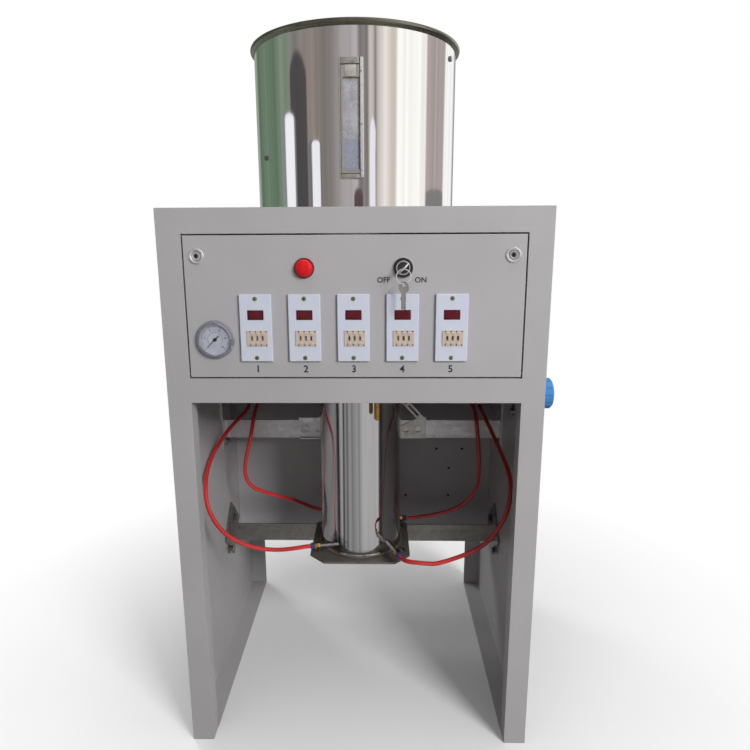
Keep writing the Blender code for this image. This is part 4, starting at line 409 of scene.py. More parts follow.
def hose_look():
    look = Look(
        "red_hose_wall", Coat_Weight=0.35, Coat_Roughness=0.18, Subsurface_Weight=0.12,
        Subsurface_Radius=(0.004, 0.001, 0.0006), Subsurface_Scale=0.6)
    dust = look.noise(420, detail=4, rough=0.7)
    tone = look.shades(look.noise(26), linear(208, 52, 50), 0.86, 1.1)
    look.colour(look.over(tone, dust, 0.62, 0.75, 0.25, linear(206, 120, 108)))
    look.rough(look.spread(dust, 0.3, 0.7, 0.26, 0.42))
    look.bump(dust, 0.06, 0.0002)
    return look.material


def glass_look():
    look = Look("gauge_glass", Transmission_Weight=1.0, IOR=1.45)
    cloud = look.noise(30, detail=5, rough=0.7)
    look.colour(look.shades(cloud, linear(250, 252, 252), 0.9, 1, 0.35))
    look.rough(look.spread(cloud, 0.35, 0.7, 0.0, 0.03))
    look.bump(look.noise(600, detail=2), 0.03, 0.0002)
    return look.material


def pane_look():
    """Scratched clear sheet, cloudy from cloves that slide past, with a bluish film over its lower third."""
    look = Look("clear_sheet", Transmission_Weight=0.45, IOR=1.45)
    cloud = look.noise(60, (1, 1, 0.5), detail=5, rough=0.7)
    height = look.add("SeparateXYZ", (look.add("NewGeometry")["Position"],))["Z"]
    tone = look.shades(cloud, linear(208, 207, 214), 0.74, 1.1, 0.35, 0.65)
    look.colour(look.over(tone, height, 1.0042, 1.0036, 0.7, linear(176, 181, 202)))
    look.rough(look.spread(cloud, 0.35, 0.7, 0.2, 0.36))
    look.bump(look.noise(600, detail=2), 0.03, 0.0001)
    return look.material


PAINT = paint_look()
MIRROR = mirror_look()
INNER_STEEL = brushed_look("inner_steel", (176, 174, 168), (1, 1, 0.03), (0.2, 0.36))
BARREL = barrel_look()
RIM = brushed_look("rolled_rim", (128, 126, 112), (0.3, 0.3, 1), (0.22, 0.4), spots=0.4)
BASE_STEEL = brushed_look("base_steel", (128, 123, 115), (0.05, 1, 1), (0.34, 0.5), spots=0.5, metal=0.5)
PLATE_STEEL = brushed_look("plate_steel", (168, 167, 163), (0.05, 1, 1))
ZINC = zinc_look("zinc_sheet", (218, 217, 217))
DARK_ZINC = zinc_look("dull_zinc_sheet", (150, 147, 141))
PALE_ZINC = zinc_look("pale_zinc_sheet", (214, 211, 203), metal=0.6)
WINDOW_STEEL = brushed_look("window_steel", (214, 211, 202), (1, 1, 0.05), (0.2, 0.38), spots=0.2)
BRASS = turned_look("turned_brass", (196, 160, 84), (0.14, 0.3))
SINTERED = turned_look("sintered_bronze", (206, 166, 92), (0.42, 0.62), dirt=0.75, scale=1400)
CHROME = turned_look("bright_plate", (232, 232, 232), (0.1, 0.22), dirt=0.25, metal=0.72)
# The spare key's edges are lightened strongly: a painted highlight along them, together with wear
KEY_STEEL = brushed_look("key_steel", (156, 150, 142), (1, 1, 0.2), (0.16, 0.3), spots=0.5, edge_wear_and_highlight=1.9)
SWITCH_FACE = turned_look("switch_face", (110, 106, 104), (0.14, 0.28))
RING_WIRE = turned_look("ring_wire", (250, 250, 250), (0.16, 0.26), dirt=0.15, metal=0.35)
FLANGE_STEEL = turned_look("flange_steel", (236, 236, 234), (0.14, 0.28), dirt=0.3, metal=0.6)
BEZEL_PLATE = turned_look("bezel_plate", (180, 181, 192), (0.06, 0.16), dirt=0.3, metal=0.85)
PLUG_PLATE = turned_look("plug_plate", (182, 182, 184), (0.14, 0.28), dirt=0.35)
STEEL_BOLT = turned_look("bolt_steel", (158, 158, 156), (0.24, 0.42), dirt=0.65)
# A darker copy of the bolt steel: painted shade, for the bolts on the right end plates
SHADED_BOLT = turned_look("bolt_steel_painted_shade", (104, 103, 100), (0.3, 0.5), dirt=0.7)
STEM_STEEL = turned_look("nozzle_steel", (176, 174, 172), (0.16, 0.34), dirt=0.4)
SCREW_BRASS = turned_look("screw_passivate", (176, 172, 118), (0.22, 0.4))
BLACK = plastic_look("black_plastic_skin", (26, 26, 27), (0.28, 0.42), Coat_Weight=0.2)
# Near-black: black plastic parts, and painted shade in recesses, slots and gaps
DARK_PLASTIC_AND_SHADE = plastic_look("dark_plastic_and_painted_shade", (14, 14, 14), (0.5, 0.7))
GREY = plastic_look("coil_plastic", (56, 57, 60))
TIMER_SKIN = plastic_look("timer_skin", (207, 211, 226), (0.3, 0.4), grain=0.05, mottling=0.02)
CREAM = plastic_look("cream_plastic", (200, 184, 170), (0.36, 0.5), grain=0.08, mottling=0.05)
WHEEL = plastic_look("ivory_wheel", (198, 184, 168), (0.35, 0.5), mottling=0.05)
DIGIT = plastic_look("digit_print", (34, 27, 24), mottling=0.12)
LABEL = plastic_look("label_print", (38, 37, 38), mottling=0.12)
DIAL = plastic_look("dial_face", (216, 215, 230), (0.4, 0.52), grain=0.04, mottling=0.02)
DIAL_PRINT = plastic_look("dial_print", (52, 58, 74), (0.4, 0.52), mottling=0.12)
DISPLAY = plastic_look(
    "display_glass", (82, 14, 24), (0.14, 0.24), grain=0.02, mottling=0.1, Coat_Weight=0.1,
    Coat_Roughness=0.1, Specular_IOR_Level=0.3)
SEGMENT = plastic_look("display_segment", (104, 20, 30), (0.12, 0.2), grain=0.02, mottling=0.08)
LENS = plastic_look(
    "red_lens_body", (214, 16, 24), (0.16, 0.28), grain=0.03, mottling=0.1, Coat_Weight=0.15,
    Coat_Roughness=0.1, Specular_IOR_Level=0.35)
BLUE = plastic_look("blue_knob_skin", (66, 134, 200), (0.34, 0.5), Coat_Weight=0.15)
COLLAR = plastic_look("collar_plastic", (58, 58, 118), (0.3, 0.45), mottling=0.15, Coat_Weight=0.2)
SLIDE_PLATE = plastic_look("slide_plate", (150, 158, 178), (0.2, 0.34))
LAMP_BEZEL = plastic_look("lamp_bezel_skin", (96, 30, 32), (0.3, 0.45))
KNOB_CAP = plastic_look("knob_cap_skin", (52, 110, 176), (0.3, 0.42))
NEEDLE = plastic_look("needle_paint", (24, 24, 28), (0.35, 0.5))
HOSE = hose_look()
PANE = pane_look()
GAUGE_GLASS = glass_look()

NODE_LOOKS = {
    PAINT: ["front_frame", "left_side_panel", "right_side_panel", "top_panel", "back_plate", "control_door"],
    ZINC: ["upper_crossbar", "left_tube_bracket", "feed_actuator", "discharge_actuator"],
    DARK_ZINC: ["lower_crossbar"],
    PALE_ZINC: ["right_tube_bracket"],
    CHROME: ["left_door_pivot", "right_door_pivot"],
    KEY_STEEL: ["spare_key"],
    FLANGE_STEEL: ["switch_key"],
    SWITCH_FACE: ["key_switch_barrel"],
    RING_WIRE: ["key_ring"],
    BEZEL_PLATE: ["gauge_case"],
    PLUG_PLATE: ["left_lock_plug", "right_lock_plug"],
    BLACK: ["pilot_lamp_body", "key_switch_body", "cable_gland", "regulator_body"],
    LENS: ["pilot_lamp_lens"],
    NEEDLE: ["gauge_needle"],
    TIMER_SKIN: [f"timer_{number}" for number in range(1, 6)],
    WHEEL: [f"timer_{number}_wheels" for number in range(1, 6)],
    MIRROR: ["hopper_shell"],
    INNER_STEEL: ["hopper_cone", "skin_duct"],
    WINDOW_STEEL: ["sight_window_frame"],
    PANE: ["sight_window_pane"],
    PLATE_STEEL: ["feed_flange", "feed_gate", "discharge_gate", "air_rail"],
    GREY: ["feed_valve", "valve_bank"],
    SINTERED: ["exhaust_silencer"],
    BARREL: ["peeling_barrel"],
    BASE_STEEL: ["barrel_base_plate"],
    BLUE: ["regulator_knob"],
    STEM_STEEL: ["nozzle_front", "nozzle_left", "nozzle_right", "nozzle_back"],
    HOSE: ["hose_front", "hose_left", "hose_right", "hose_back"],
}


def dress_nodes():
    for material, names in NODE_LOOKS.items():
        for name in names:
            slots = NODES[name].material_slots
            for slot in slots:
                slot.link = "OBJECT"
                slot.material = material
            if not slots:
                NODES[name].data.materials.append(material)


dress_nodes()
for hose in HOSES:
    hose.data.materials.append(HOSE)


# Mesh tools: each adds faces to an open bmesh, and piece() turns the whole into one object

SMOOTH_LIMIT = math.radians(32)


def facing(point, direction, turn=0.0):
    """A place whose own Z axis points along the direction."""
    spin = Vector(direction).to_track_quat("Z", "Y").to_matrix().to_4x4()
    return Matrix.Translation(Vector(point)) @ spin @ Matrix.Rotation(math.radians(turn), 4, "Z")


def on_face(x, y, z):
    """A place on an upright face that looks to the front, its X axis to the right and its Y axis up."""
    return Matrix.Translation(at(x, y, z)) @ Matrix.Rotation(math.radians(90), 4, "X")


def front_place(spot, y):
    """A place that looks to the front from a spot given as X and Z."""
    return facing(at(spot[0], y, spot[1]), FRONT)


def add_lathe(bm, profile, place, steps=32, closed=False, slot=0):
    rings = []
    for radius, along in profile:
        if radius < TINY:
            rings.append([bm.verts.new(place @ Vector((0, 0, along)))])
            continue
        ring = []
        for step in range(steps):
            angle = 2 * math.pi * step / steps
            corner = Vector((radius * math.cos(angle), radius * math.sin(angle), along))
            ring.append(bm.verts.new(place @ corner))
        rings.append(ring)
    pairs = list(zip(rings, rings[1:]))
    if closed:
        pairs.append((rings[-1], rings[0]))
    for low, high in pairs:
        for step in range(steps):
            after = (step + 1) % steps
            corners = [
                low[step % len(low)], low[after % len(low)], high[after % len(high)], high[step % len(high)]]
            corners = list(dict.fromkeys(corners))
            if len(corners) > 2:
                bm.faces.new(corners).material_index = slot


def add_box(bm, low, high, place=None, slot=0, bevel=0.0):
    place = place or Matrix.Identity(4)
    middle = (Vector(low) + Vector(high)) / 2
    size = Vector(high) - Vector(low)
    made = bmesh.ops.create_cube(bm, size=1.0)["verts"]
    for vert in made:
        vert.co = Vector((vert.co.x * size.x, vert.co.y * size.y, vert.co.z * size.z)) + middle
    faces = {face for vert in made for face in vert.link_faces}
    if bevel:
        edges = {edge for vert in made for edge in vert.link_edges}
        result = bmesh.ops.bevel(bm, geom=list(edges), offset=bevel, segments=2, affect="EDGES", profile=0.5)
        faces = {face for vert in result["verts"] for face in vert.link_faces} | {
            face for face in faces if face.is_valid}
    verts = {vert for face in faces for vert in face.verts}
    for vert in verts:
        vert.co = place @ vert.co
    for face in faces:
        face.material_index = slot


def add_sheet(bm, columns, rows, holes, front, back, place):
    """A flat plate on the XZ plane between two depths, made of grid cells, with the listed cells left out."""
    cells = {(i, j) for i in range(len(columns) - 1) for j in range(len(rows) - 1)} - holes
    corners = {}

    def point(spot, deep):
        if (spot, deep) not in corners:
            corner = Vector((columns[spot[0]], (front, back)[deep], rows[spot[1]]))
            corners[spot, deep] = bm.verts.new(place @ corner)
        return corners[spot, deep]

    for i, j in sorted(cells):
        around = [(i, j), (i + 1, j), (i + 1, j + 1), (i, j + 1)]
        bm.faces.new([point(spot, 0) for spot in around])
        bm.faces.new([point(spot, 1) for spot in reversed(around)])
        for side, neighbour in enumerate(((i, j - 1), (i + 1, j), (i, j + 1), (i - 1, j))):
            if neighbour not in cells:
                first, second = around[side], around[(side + 1) % 4]
                bm.faces.new([point(second, 0), point(first, 0), point(first, 1), point(second, 1)])


def object_from(name, bm, materials):
    mesh = bpy.data.meshes.new(name)
    bm.to_mesh(mesh)
    bm.free()
    for material in materials:
        mesh.materials.append(material)
    obj = bpy.data.objects.new(name, mesh)
    bpy.context.scene.collection.objects.link(obj)
    return obj


def piece(name, bm, materials, body, replaces=()):
    """One visible object on a body: edges under the smooth limit are shaded round."""
    bmesh.ops.recalc_face_normals(bm, faces=bm.faces)
    for face in bm.faces:
        face.smooth = True
    for edge in bm.edges:
        edge.smooth = len(edge.link_faces) == 2 and edge.calc_face_angle(0) < SMOOTH_LIMIT
    obj = object_from(name, bm, materials)
    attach(obj, body)
    if replaces:
        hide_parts(*replaces)
    return obj


def add_tile(bm, spot, half_width, half_height, front, back, slot=0, bevel=0.0):
    """A flat box between two depths, round a spot given as X and Z."""
    x, z = spot
    low = at(x - half_width, front, z - half_height)
    add_box(bm, low, at(x + half_width, back, z + half_height), slot=slot, bevel=bevel)


def turned_piece(name, material, body, places, profile, steps, closed=True):
    """One outline, turned round the Z axis of every place."""
    bm = bmesh.new()
    for place in places:
        add_lathe(bm, profile, place, steps, closed=closed)
    piece(name, bm, [material], body)


def add_hex_bolt(bm, point, direction, across, head, washer=True, turn=0.0):
    """A hexagon head with a rounded crown on a flat washer, its own Z axis away from the sheet."""
    place = facing(point, direction, turn)
    base = 0.0
    if washer:
        base = head * 0.28
        wide = across * 0.98
        add_lathe(bm, [(0, 0), (wide, 0), (wide, base * 0.7), (wide * 0.96, base), (0, base)], place, 28)
    corner = across / math.sqrt(3)
    top = base + head
    profile = [(0, base), (corner, base), (corner, top - head * 0.15), (corner * 0.86, top), (0, top)]
    add_lathe(bm, profile, place, 6)


def add_screw(bm, point, direction, radius, turn=20.0, slot=0, dark=1):
    """A pan head with a cross recess, drawn as two dark bars of painted shade let into the crown."""
    place = facing(point, direction, turn)
    high = radius * 0.55
    profile = [
        (0, 0), (radius, 0), (radius, high * 0.35), (radius * 0.9, high * 0.75), (radius * 0.6, high * 0.97),
        (0, high)]
    add_lathe(bm, profile, place, 20, slot=slot)
    arm, half = radius * 0.58, radius * 0.13
    for wide, tall, top in ((arm, half, high * 1.02), (half, arm, high * 1.03)):
        add_box(bm, (-wide, -tall, high * 0.6), (wide, tall, top), place, slot=dark)


# Hopper: rolled rim, bright wall with the sight slot, foot lip

HOPPER_FOOT = 0.9053
HOPPER_LOW_RING = 0.93
HOPPER_HIGH_RING = 1.125
SLOT_LOW = 0.961
SLOT_HIGH = 1.0885
BEAD_RADIUS = 0.0046
BEAD_X = HOPPER_RADIUS + 0.0015
BEAD_Z = 1.1655


def hopper_profile():
    """The wall's outline from the foot up, over the rim and down inside, and its steps that make the rim."""
    levels = [SLOT_LOW + (SLOT_HIGH - SLOT_LOW) * step / 6 for step in range(7)]
    heights = (HOPPER_FOOT, HOPPER_LOW_RING, *levels, HOPPER_HIGH_RING, BEAD_Z - BEAD_RADIUS * 0.9)
    outer = [(HOPPER_RADIUS, z) for z in heights]
    bead = []
    for step in range(19):
        angle = math.radians(-108 + 300 * step / 18)
        bead.append((BEAD_X + BEAD_RADIUS * math.cos(angle), BEAD_Z + BEAD_RADIUS * math.sin(angle)))
    lip, lip_z = HOPPER_INNER - 0.014, HOPPER_FOOT + 0.0015
    inner = [(HOPPER_INNER, z) for z in (BEAD_Z, HOPPER_HIGH_RING, *reversed(levels), HOPPER_LOW_RING, lip_z)]
    inner += [(lip, lip_z), (lip, HOPPER_FOOT)]
    return outer + bead + inner, range(len(outer), len(outer) + len(bead) - 1)


def make_hopper():
    points, rim = hopper_profile()
    half_slot = math.asin(0.012 / HOPPER_RADIUS)
    front = -math.pi / 2
    steps = 168
    angles = sorted(
        [front + half_slot * share for share in (-1, -0.5, 0, 0.5, 1)]
        + [front + half_slot + (2 * math.pi - 2 * half_slot) * step / steps for step in range(1, steps)])
    centre = at(*HOPPER_AXIS, 0)
    bm = bmesh.new()
    rings = [
        [bm.verts.new(centre + Vector((radius * math.cos(a), radius * math.sin(a), z))) for a in angles]
        for radius, z in points]
    for k, (radius, z) in enumerate(points):
        after = (k + 1) % len(points)
        low, high = sorted((z, points[after][1]))
        upright = abs(radius - points[after][0]) < TINY
        beside = upright and SLOT_LOW - TINY <= low < high - TINY <= SLOT_HIGH
        for i, angle in enumerate(angles):
            if beside and -half_slot - TINY < angle - front < half_slot - TINY:
                continue
            j = (i + 1) % len(angles)
            face = bm.faces.new([rings[k][i], rings[k][j], rings[after][j], rings[after][i]])
            face.material_index = 1 if k in rim else (2 if k > rim.stop else 0)
    # A strip of wall joins the slot's outer and inner edges
    bmesh.ops.bridge_loops(bm, edges=[edge for edge in bm.edges if len(edge.link_faces) == 1])
    piece("hopper_wall", bm, [MIRROR, RIM, INNER_STEEL], "cabinet", ["hopper_shell"])


make_hopper()


def make_hopper_details():
    x0, y0 = HOPPER_AXIS
    bm = bmesh.new()
    for x, z in ((-0.146, 0.989), (0.150, 1.140)):
        out = Vector((x - x0, -math.sqrt(HOPPER_RADIUS ** 2 - (x - x0) ** 2), 0))
        add_hex_bolt(bm, at(x0, y0, z) + out, out, 0.0075, 0.0028, washer=False)
    piece("hopper_wall_bolts", bm, [STEEL_BOLT], "cabinet")

    # The lap of the rolled rim, and the upright weld seam at the back of the wall
    place = facing(at(x0 - 0.0055, y0 - BEAD_X, BEAD_Z), (1, 0, 0))
    lap = [(0.0045, -0.0006), (0.00466, -0.0004), (0.00466, 0.0004), (0.0045, 0.0006)]
    turned_piece("rim_lap", RIM, "cabinet", [place], lap, 20)
    foot = at(x0, y0 + HOPPER_RADIUS - SEAT, 0.915)
    ripples = [facing(foot + Vector((0, 0, step * 0.0034)), (0, 1, 0.45)) for step in range(70)]
    ripple = [(0, 0), (0.0022, 0.0), (0.0019, 0.0004), (0, 0.0006)]
    turned_piece("hopper_back_seam", RIM, "cabinet", ripples, ripple, 10, closed=False)


make_hopper_details()


# Sight window: lips round the pane, the flange on the right, their screws, a head block and a slide plate


def make_window():
    x0 = HOPPER_AXIS[0]
    face = 0.0454
    low, high = 0.949, 1.115
    left, right = x0 - 0.0181, x0 + 0.0181
    bm = bmesh.new()

    def strip(start, end, foot, head, proud, slot=0, bevel=0.0):
        add_box(bm, at(start, face - proud, foot), at(end, face - SEAT, head), slot=slot, bevel=bevel)

    strip(left, left + 0.0022, low, high, 0.0014, bevel=0.0004)
    strip(right - 0.0050, right - 0.0002, low + 0.001, high, 0.0018, slot=1, bevel=0.0005)
    strip(left + 0.0025, right - 0.0062, high - 0.0085, high, 0.0010, bevel=0.0003)
    strip(left + 0.0025, right - 0.0062, low, low + 0.0055, 0.0012, bevel=0.0003)
    strip(x0 - 0.0092, x0 + 0.0074, 1.0893, 1.1050, 0.0014, slot=3, bevel=0.0004)
    # Thin dark strips along the inner edges of the lips: painted shade in the gaps beside the pane
    for start, end, foot, head in (
            (right - 0.0060, right - 0.0051, low + 0.001, high), (left + 0.0023, left + 0.0029, low, high),
            (left + 0.0030, right - 0.0062, 1.1053, 1.1062), (left + 0.0030, right - 0.0062, 0.9548, 0.9556)):
        strip(start, end, foot, head, 0.0004, slot=2)
    piece("window_lips", bm, [WINDOW_STEEL, FLANGE_STEEL, DARK_PLASTIC_AND_SHADE, PALE_ZINC], "cabinet")

    bm = bmesh.new()
    for z in (1.0963, 1.0244, 0.9601):
        add_screw(bm, at(right - 0.0026, face - 0.0018, z), FRONT, 0.0017)
    for z in (1.0060, 0.9610):
        add_screw(bm, at(left + 0.0011, face - 0.0014, z), FRONT, 0.0010)
    piece("window_screws", bm, [CHROME, DARK_PLASTIC_AND_SHADE], "cabinet")

    bm = bmesh.new()
    add_box(bm, at(x0 - 0.0085, face + 0.0064, 1.084), at(x0 + 0.0090, face + 0.0072, 1.0905), bevel=0.0003)
    piece("window_head_block", bm, [PALE_ZINC], "cabinet")

    bm = bmesh.new()
    add_box(bm, at(x0 - 0.0088, face + 0.0062, 0.9625), at(x0 + 0.0104, face + 0.0070, 1.0035), bevel=0.0006)
    piece("window_slide_plate", bm, [SLIDE_PLATE], "cabinet")


make_window()


# Barrel and what is fixed to it


def make_barrel():
    bm = bmesh.new()
    flare = 0.004
    bottom, top = 0.2703, 0.7003 - GAP
    heights = (top, 0.55, 0.40, bottom + flare * 1.4, bottom + flare * 1.1)
    profile = [(BARREL_RADIUS, z) for z in heights]
    profile += [(BARREL_RADIUS + flare * 0.30, bottom + flare * 0.62), (BARREL_RADIUS + flare, bottom)]
    profile += [(BARREL_RADIUS - 0.002, z) for z in (bottom, 0.45, top)]
    add_lathe(bm, profile, Matrix.Translation(at(*BARREL_AXIS, 0)), 144, closed=True)
    tube = piece("barrel_tube", bm, [BARREL], "cabinet", ["peeling_barrel"])

    # The skin duct's port is cut through the back of the tube
    bm = bmesh.new()
    add_lathe(bm, [(0, 0), (0.038, 0), (0.038, 0.12), (0, 0.12)], facing(at(*BARREL_AXIS, 0.650), BACK), 48)
    bmesh.ops.recalc_face_normals(bm, faces=bm.faces)
    cutter = object_from("port_cutter", bm, [])
    boolean = tube.modifiers.new("port", "BOOLEAN")
    boolean.operation = "DIFFERENCE"
    boolean.object = cutter
    boolean.solver = "EXACT"
    bpy.context.view_layer.update()
    shaped = bpy.data.meshes.new_from_object(tube.evaluated_get(bpy.context.evaluated_depsgraph_get()))
    tube.modifiers.clear()
    tube.data = shaped
    bpy.data.objects.remove(cutter)


make_barrel()

# The way each nozzle points, in degrees from the machine's right
NOZZLE_TURNS = {"back": 0.0, "left": 102.0, "front": 191.6, "right": 292.0}


def make_nozzle_trim():
    """Brass nuts and coloured push-in sleeves over the four nozzles, and such pairs at the rail."""
    nuts, sleeves = bmesh.new(), bmesh.new()
    for name, turn in NOZZLE_TURNS.items():
        start, tip = at(*HOSE_ROUTES[name][0]), at(*HOSE_ROUTES[name][-1])
        ahead = Vector((math.cos(math.radians(turn)), math.sin(math.radians(turn)), 0))
        nut_end = tip - ahead * (0.006 + GAP)
        add_lathe(
            nuts, [(0.0050, 0), (0.0063, 0.0003), (0.0067, 0.0012), (0.0067, 0.0086), (0.0062, 0.0096),
                   (0.0050, 0.0099)], facing(nut_end - ahead * 0.0097, ahead), 6, closed=True)
        add_lathe(
            sleeves, [(0.00405, 0.0002), (0.0058, 0.0002), (0.0062, 0.0010), (0.0062, 0.0036),
                      (0.0056, 0.0046), (0.0060, 0.0056), (0.0060, 0.0070), (0.0052, 0.0078),
                      (0.00405, 0.0078)], facing(nut_end, ahead), 28, closed=True)
        place = facing(start + Vector((0, 0, GAP)), (0, 0, -1))
        add_lathe(
            sleeves, [(0.00405, -0.004), (0.0060, -0.004), (0.0063, -0.003), (0.0063, 0.0008),
                      (0.0055, 0.0018), (0.00405, 0.0018)], place, 28, closed=True)
        add_lathe(
            nuts, [(0.0051, -0.0098), (0.0075, -0.0096), (0.0075, -0.0048), (0.0051, -0.0044)], place, 6,
            closed=True)
    piece("fitting_nuts", nuts, [BRASS], "cabinet")
    piece("fitting_sleeves", sleeves, [COLLAR], "cabinet")


make_nozzle_trim()


def make_barrel_trim():
    # Weld bead round the foot of the tube, laid in short overlapping ripples
    places = []
    for step in range(120):
        angle = 2 * math.pi * step / 120
        out = Vector((math.cos(angle), math.sin(angle), 0))
        places.append(facing(at(*BARREL_AXIS, 0.2718) + out * (BARREL_RADIUS + 0.0022), (-out.y, out.x, 0)))
    ripple = [(0, -0.0022), (0.0015, -0.0018), (0.0021, 0), (0.0015, 0.0018), (0, 0.0022)]
    turned_piece("foot_weld", BASE_STEEL, "cabinet", places, ripple, 8, closed=False)

    # Bolts through the base plate's corners into the pads of the bar, and under the feed flange
    bm = bmesh.new()
    for x in (-0.080, 0.080):
        for y in (BARREL_AXIS[1] - 0.050, BARREL_AXIS[1] + 0.050):
            add_hex_bolt(bm, at(x, y, 0.2700), (0, 0, 1), 0.008, 0.0035, turn=12)
    for x in (-0.085, 0.112):
        for y in (0.128, 0.322):
            add_hex_bolt(bm, at(x, y, 0.7003), (0, 0, -1), 0.010, 0.0045, turn=8)
    piece("plate_bolts", bm, [STEEL_BOLT], "cabinet")

    # Silencer: hexagon neck over the sintered body
    neck = [(0.0036, 0.0), (0.0072, 0.0004), (0.0072, 0.0072), (0.0062, 0.0080), (0.0057, 0.0082)]
    place = facing(at(0.0335, 0.132, 0.586), (0, 0, -1))
    turned_piece("silencer_neck", BRASS, "cabinet", [place], neck, 6)


make_barrel_trim()


# Crossbars: bolts at the end plates and brackets


def make_bar_bolts():
    bright, dark = bmesh.new(), bmesh.new()
    # The right end plates' bolts take the darker copy of the bolt steel: painted shade of the right inner
    # wall
    for side, bm in ((-1, bright), (1, dark)):
        for y, z, turn in (
                (0.31, 0.448, 17 * side), (0.31, 0.54, 17 * side), (0.339, 0.26, 9), (0.29, 0.21, 9)):
            add_hex_bolt(bm, at(side * 0.2842, y, z), (-side, 0, 0), 0.0105, 0.0052, turn=turn)
    for x, y, z in ((0.2885, 0.198, 0.546), (-0.2885, 0.198, 0.598), (-0.2885, 0.36, 0.598)):
        add_hex_bolt(bright, at(x, y, z), (-x, 0, 0), 0.0110, 0.0050)
    piece("end_plate_bolts", bright, [STEEL_BOLT], "cabinet")
    piece("end_plate_bolts_right", dark, [SHADED_BOLT], "cabinet")

    places = [facing(at(x, y, 0.4755), FRONT) for x, y in ((-0.1175, 0.2974), (0.1175, 0.3024))]
    ring = [(0.0064, -0.0006), (0.0078, -0.0004), (0.0078, 0.0004), (0.0064, 0.0006)]
    turned_piece("bracket_grommets", ZINC, "cabinet", places, ring, 28)


make_bar_bolts()


# Control door: locks, lamp, key switch, gauge, timers, marks

SWITCH_AT = (0.0718, 0.818)
LAMP_AT = (-0.0735, 0.818)
GAUGE_AT = (-0.2105, 0.7123)
LOCK_AT = (0.232, 0.836)
# Places of a timer's three wheels, from its middle
SLOT_OFFSETS = (-0.0065, 0.0015, 0.0095)
# Prints have a thickness of their own and lie a little in front of the face below them
PRINT_THICKNESS = 0.00004
PRINT_LEVEL = 0.00263
MARK_LIFT = 0.00012


def make_locks():
    ring = [
        (0.0067, 0), (0.0116, 0), (0.0117, 0.0004), (0.0115, 0.0011), (0.0110, 0.0017), (0.0103, 0.0021),
        (0.0095, 0.0022), (0.0087, 0.0021), (0.0079, 0.0017), (0.0073, 0.0010), (0.0067, 0.0008)]
    lock_x, lock_z = LOCK_AT
    places = [front_place((side * lock_x, lock_z), -SEAT) for side in (-1, 1)]
    turned_piece("lock_rings", CHROME, "door", places, ring, 56)

    # Each plug has a dark slot and two turned rings that move with it: the dark slot and the inner ring are
    # painted shade of the keyhole, the outer ring is bright plate
    for side, name in ((-1, "left_lock"), (1, "right_lock")):
        bm = bmesh.new()
        spot = (side * lock_x, lock_z)
        add_tile(bm, spot, 0.00078, 0.0034, -0.00042, -0.00034)
        place = front_place(spot, -0.0015)
        outer = [(0.0040, -0.0001), (0.0062, -0.0001), (0.0058, 0.0004), (0.0046, 0.0004)]
        inner = [(0.0010, -0.0001), (0.0026, -0.0001), (0.0026, 0.0001), (0.0010, 0.0001)]
        add_lathe(bm, outer, place, 36, closed=True, slot=1)
        add_lathe(bm, inner, place, 28, closed=True)
        piece(name + "_slot_floor", bm, [DARK_PLASTIC_AND_SHADE, CHROME], name)


def make_lamp():
    place = front_place(LAMP_AT, -0.0006)
    bm = bmesh.new()
    wide, proud = 0.0131, 0.0104
    foot, shoulder = 0.0014, proud * 0.5
    dome = [(0, foot), (wide, foot)]
    for step in range(3):
        dome.append((wide - 0.0002 * step, foot + (shoulder - foot) * (step + 1) / 3))
    for step in range(1, 12):
        angle = math.pi / 2 * step / 12
        dome.append(((wide - 0.0006) * math.cos(angle) ** 0.75, proud * (0.5 + 0.5 * math.sin(angle) ** 0.9)))
    add_lathe(bm, [*dome, (0, proud)], place, 64)
    for step in range(32):
        rib = place @ Matrix.Rotation(math.radians(360 * step / 32), 4, "Z")
        add_box(bm, (wide - 0.0007, -0.0004, 0.0016), (wide + 0.00015, 0.0004, shoulder), rib)
    piece("lamp_lens", bm, [LENS], "door", ["pilot_lamp_lens"])

    ring = [
        (0.0110, 0.0001), (0.0150, 0.0001), (0.0150, 0.0014), (0.0146, 0.0023), (0.0135, 0.0023),
        (0.0134, 0.0018), (0.0110, 0.0018)]
    turned_piece("lamp_bezel", LAMP_BEZEL, "door", [front_place(LAMP_AT, 0)], ring, 56)


def make_switch():
    outer = [
        (0.0143, 0.0001), (0.0156, 0.0001), (0.0156, 0.0010), (0.0150, 0.0017), (0.01445, 0.0017),
        (0.0143, 0.0010)]
    inner = [
        (0.0084, -0.0004), (0.0084, 0.0001), (0.0088, 0.0005), (0.0100, 0.0005), (0.0104, 0.0001),
        (0.0104, -0.0004)]
    for side, ring, deep, steps in (("outer", outer, 0, 64), ("inner", inner, -0.0050, 56)):
        place = front_place(SWITCH_AT, deep)
        turned_piece(f"switch_{side}_ring", CHROME, "door", [place], ring, steps)


def arc_strip(bm, place, inner, outer, start, end, steps=48):
    """An arc or tick on the gauge's dial, with the print's own thickness."""
    low = Vector((0, 0, PRINT_LEVEL))
    high = Vector((0, 0, PRINT_LEVEL + PRINT_THICKNESS))
    rows = []
    for step in range(steps + 1):
        angle = math.radians(start + (end - start) * step / steps)
        way = Vector((math.cos(angle), math.sin(angle), 0))
        corners = [way * inner + low, way * outer + low, way * outer + high, way * inner + high]
        rows.append([bm.verts.new(place @ corner) for corner in corners])
    for first, second in zip(rows, rows[1:]):
        for corner in range(4):
            after = (corner + 1) % 4
            bm.faces.new([first[corner], first[after], second[after], second[corner]])
    bm.faces.new(rows[0])
    bm.faces.new(rows[-1])


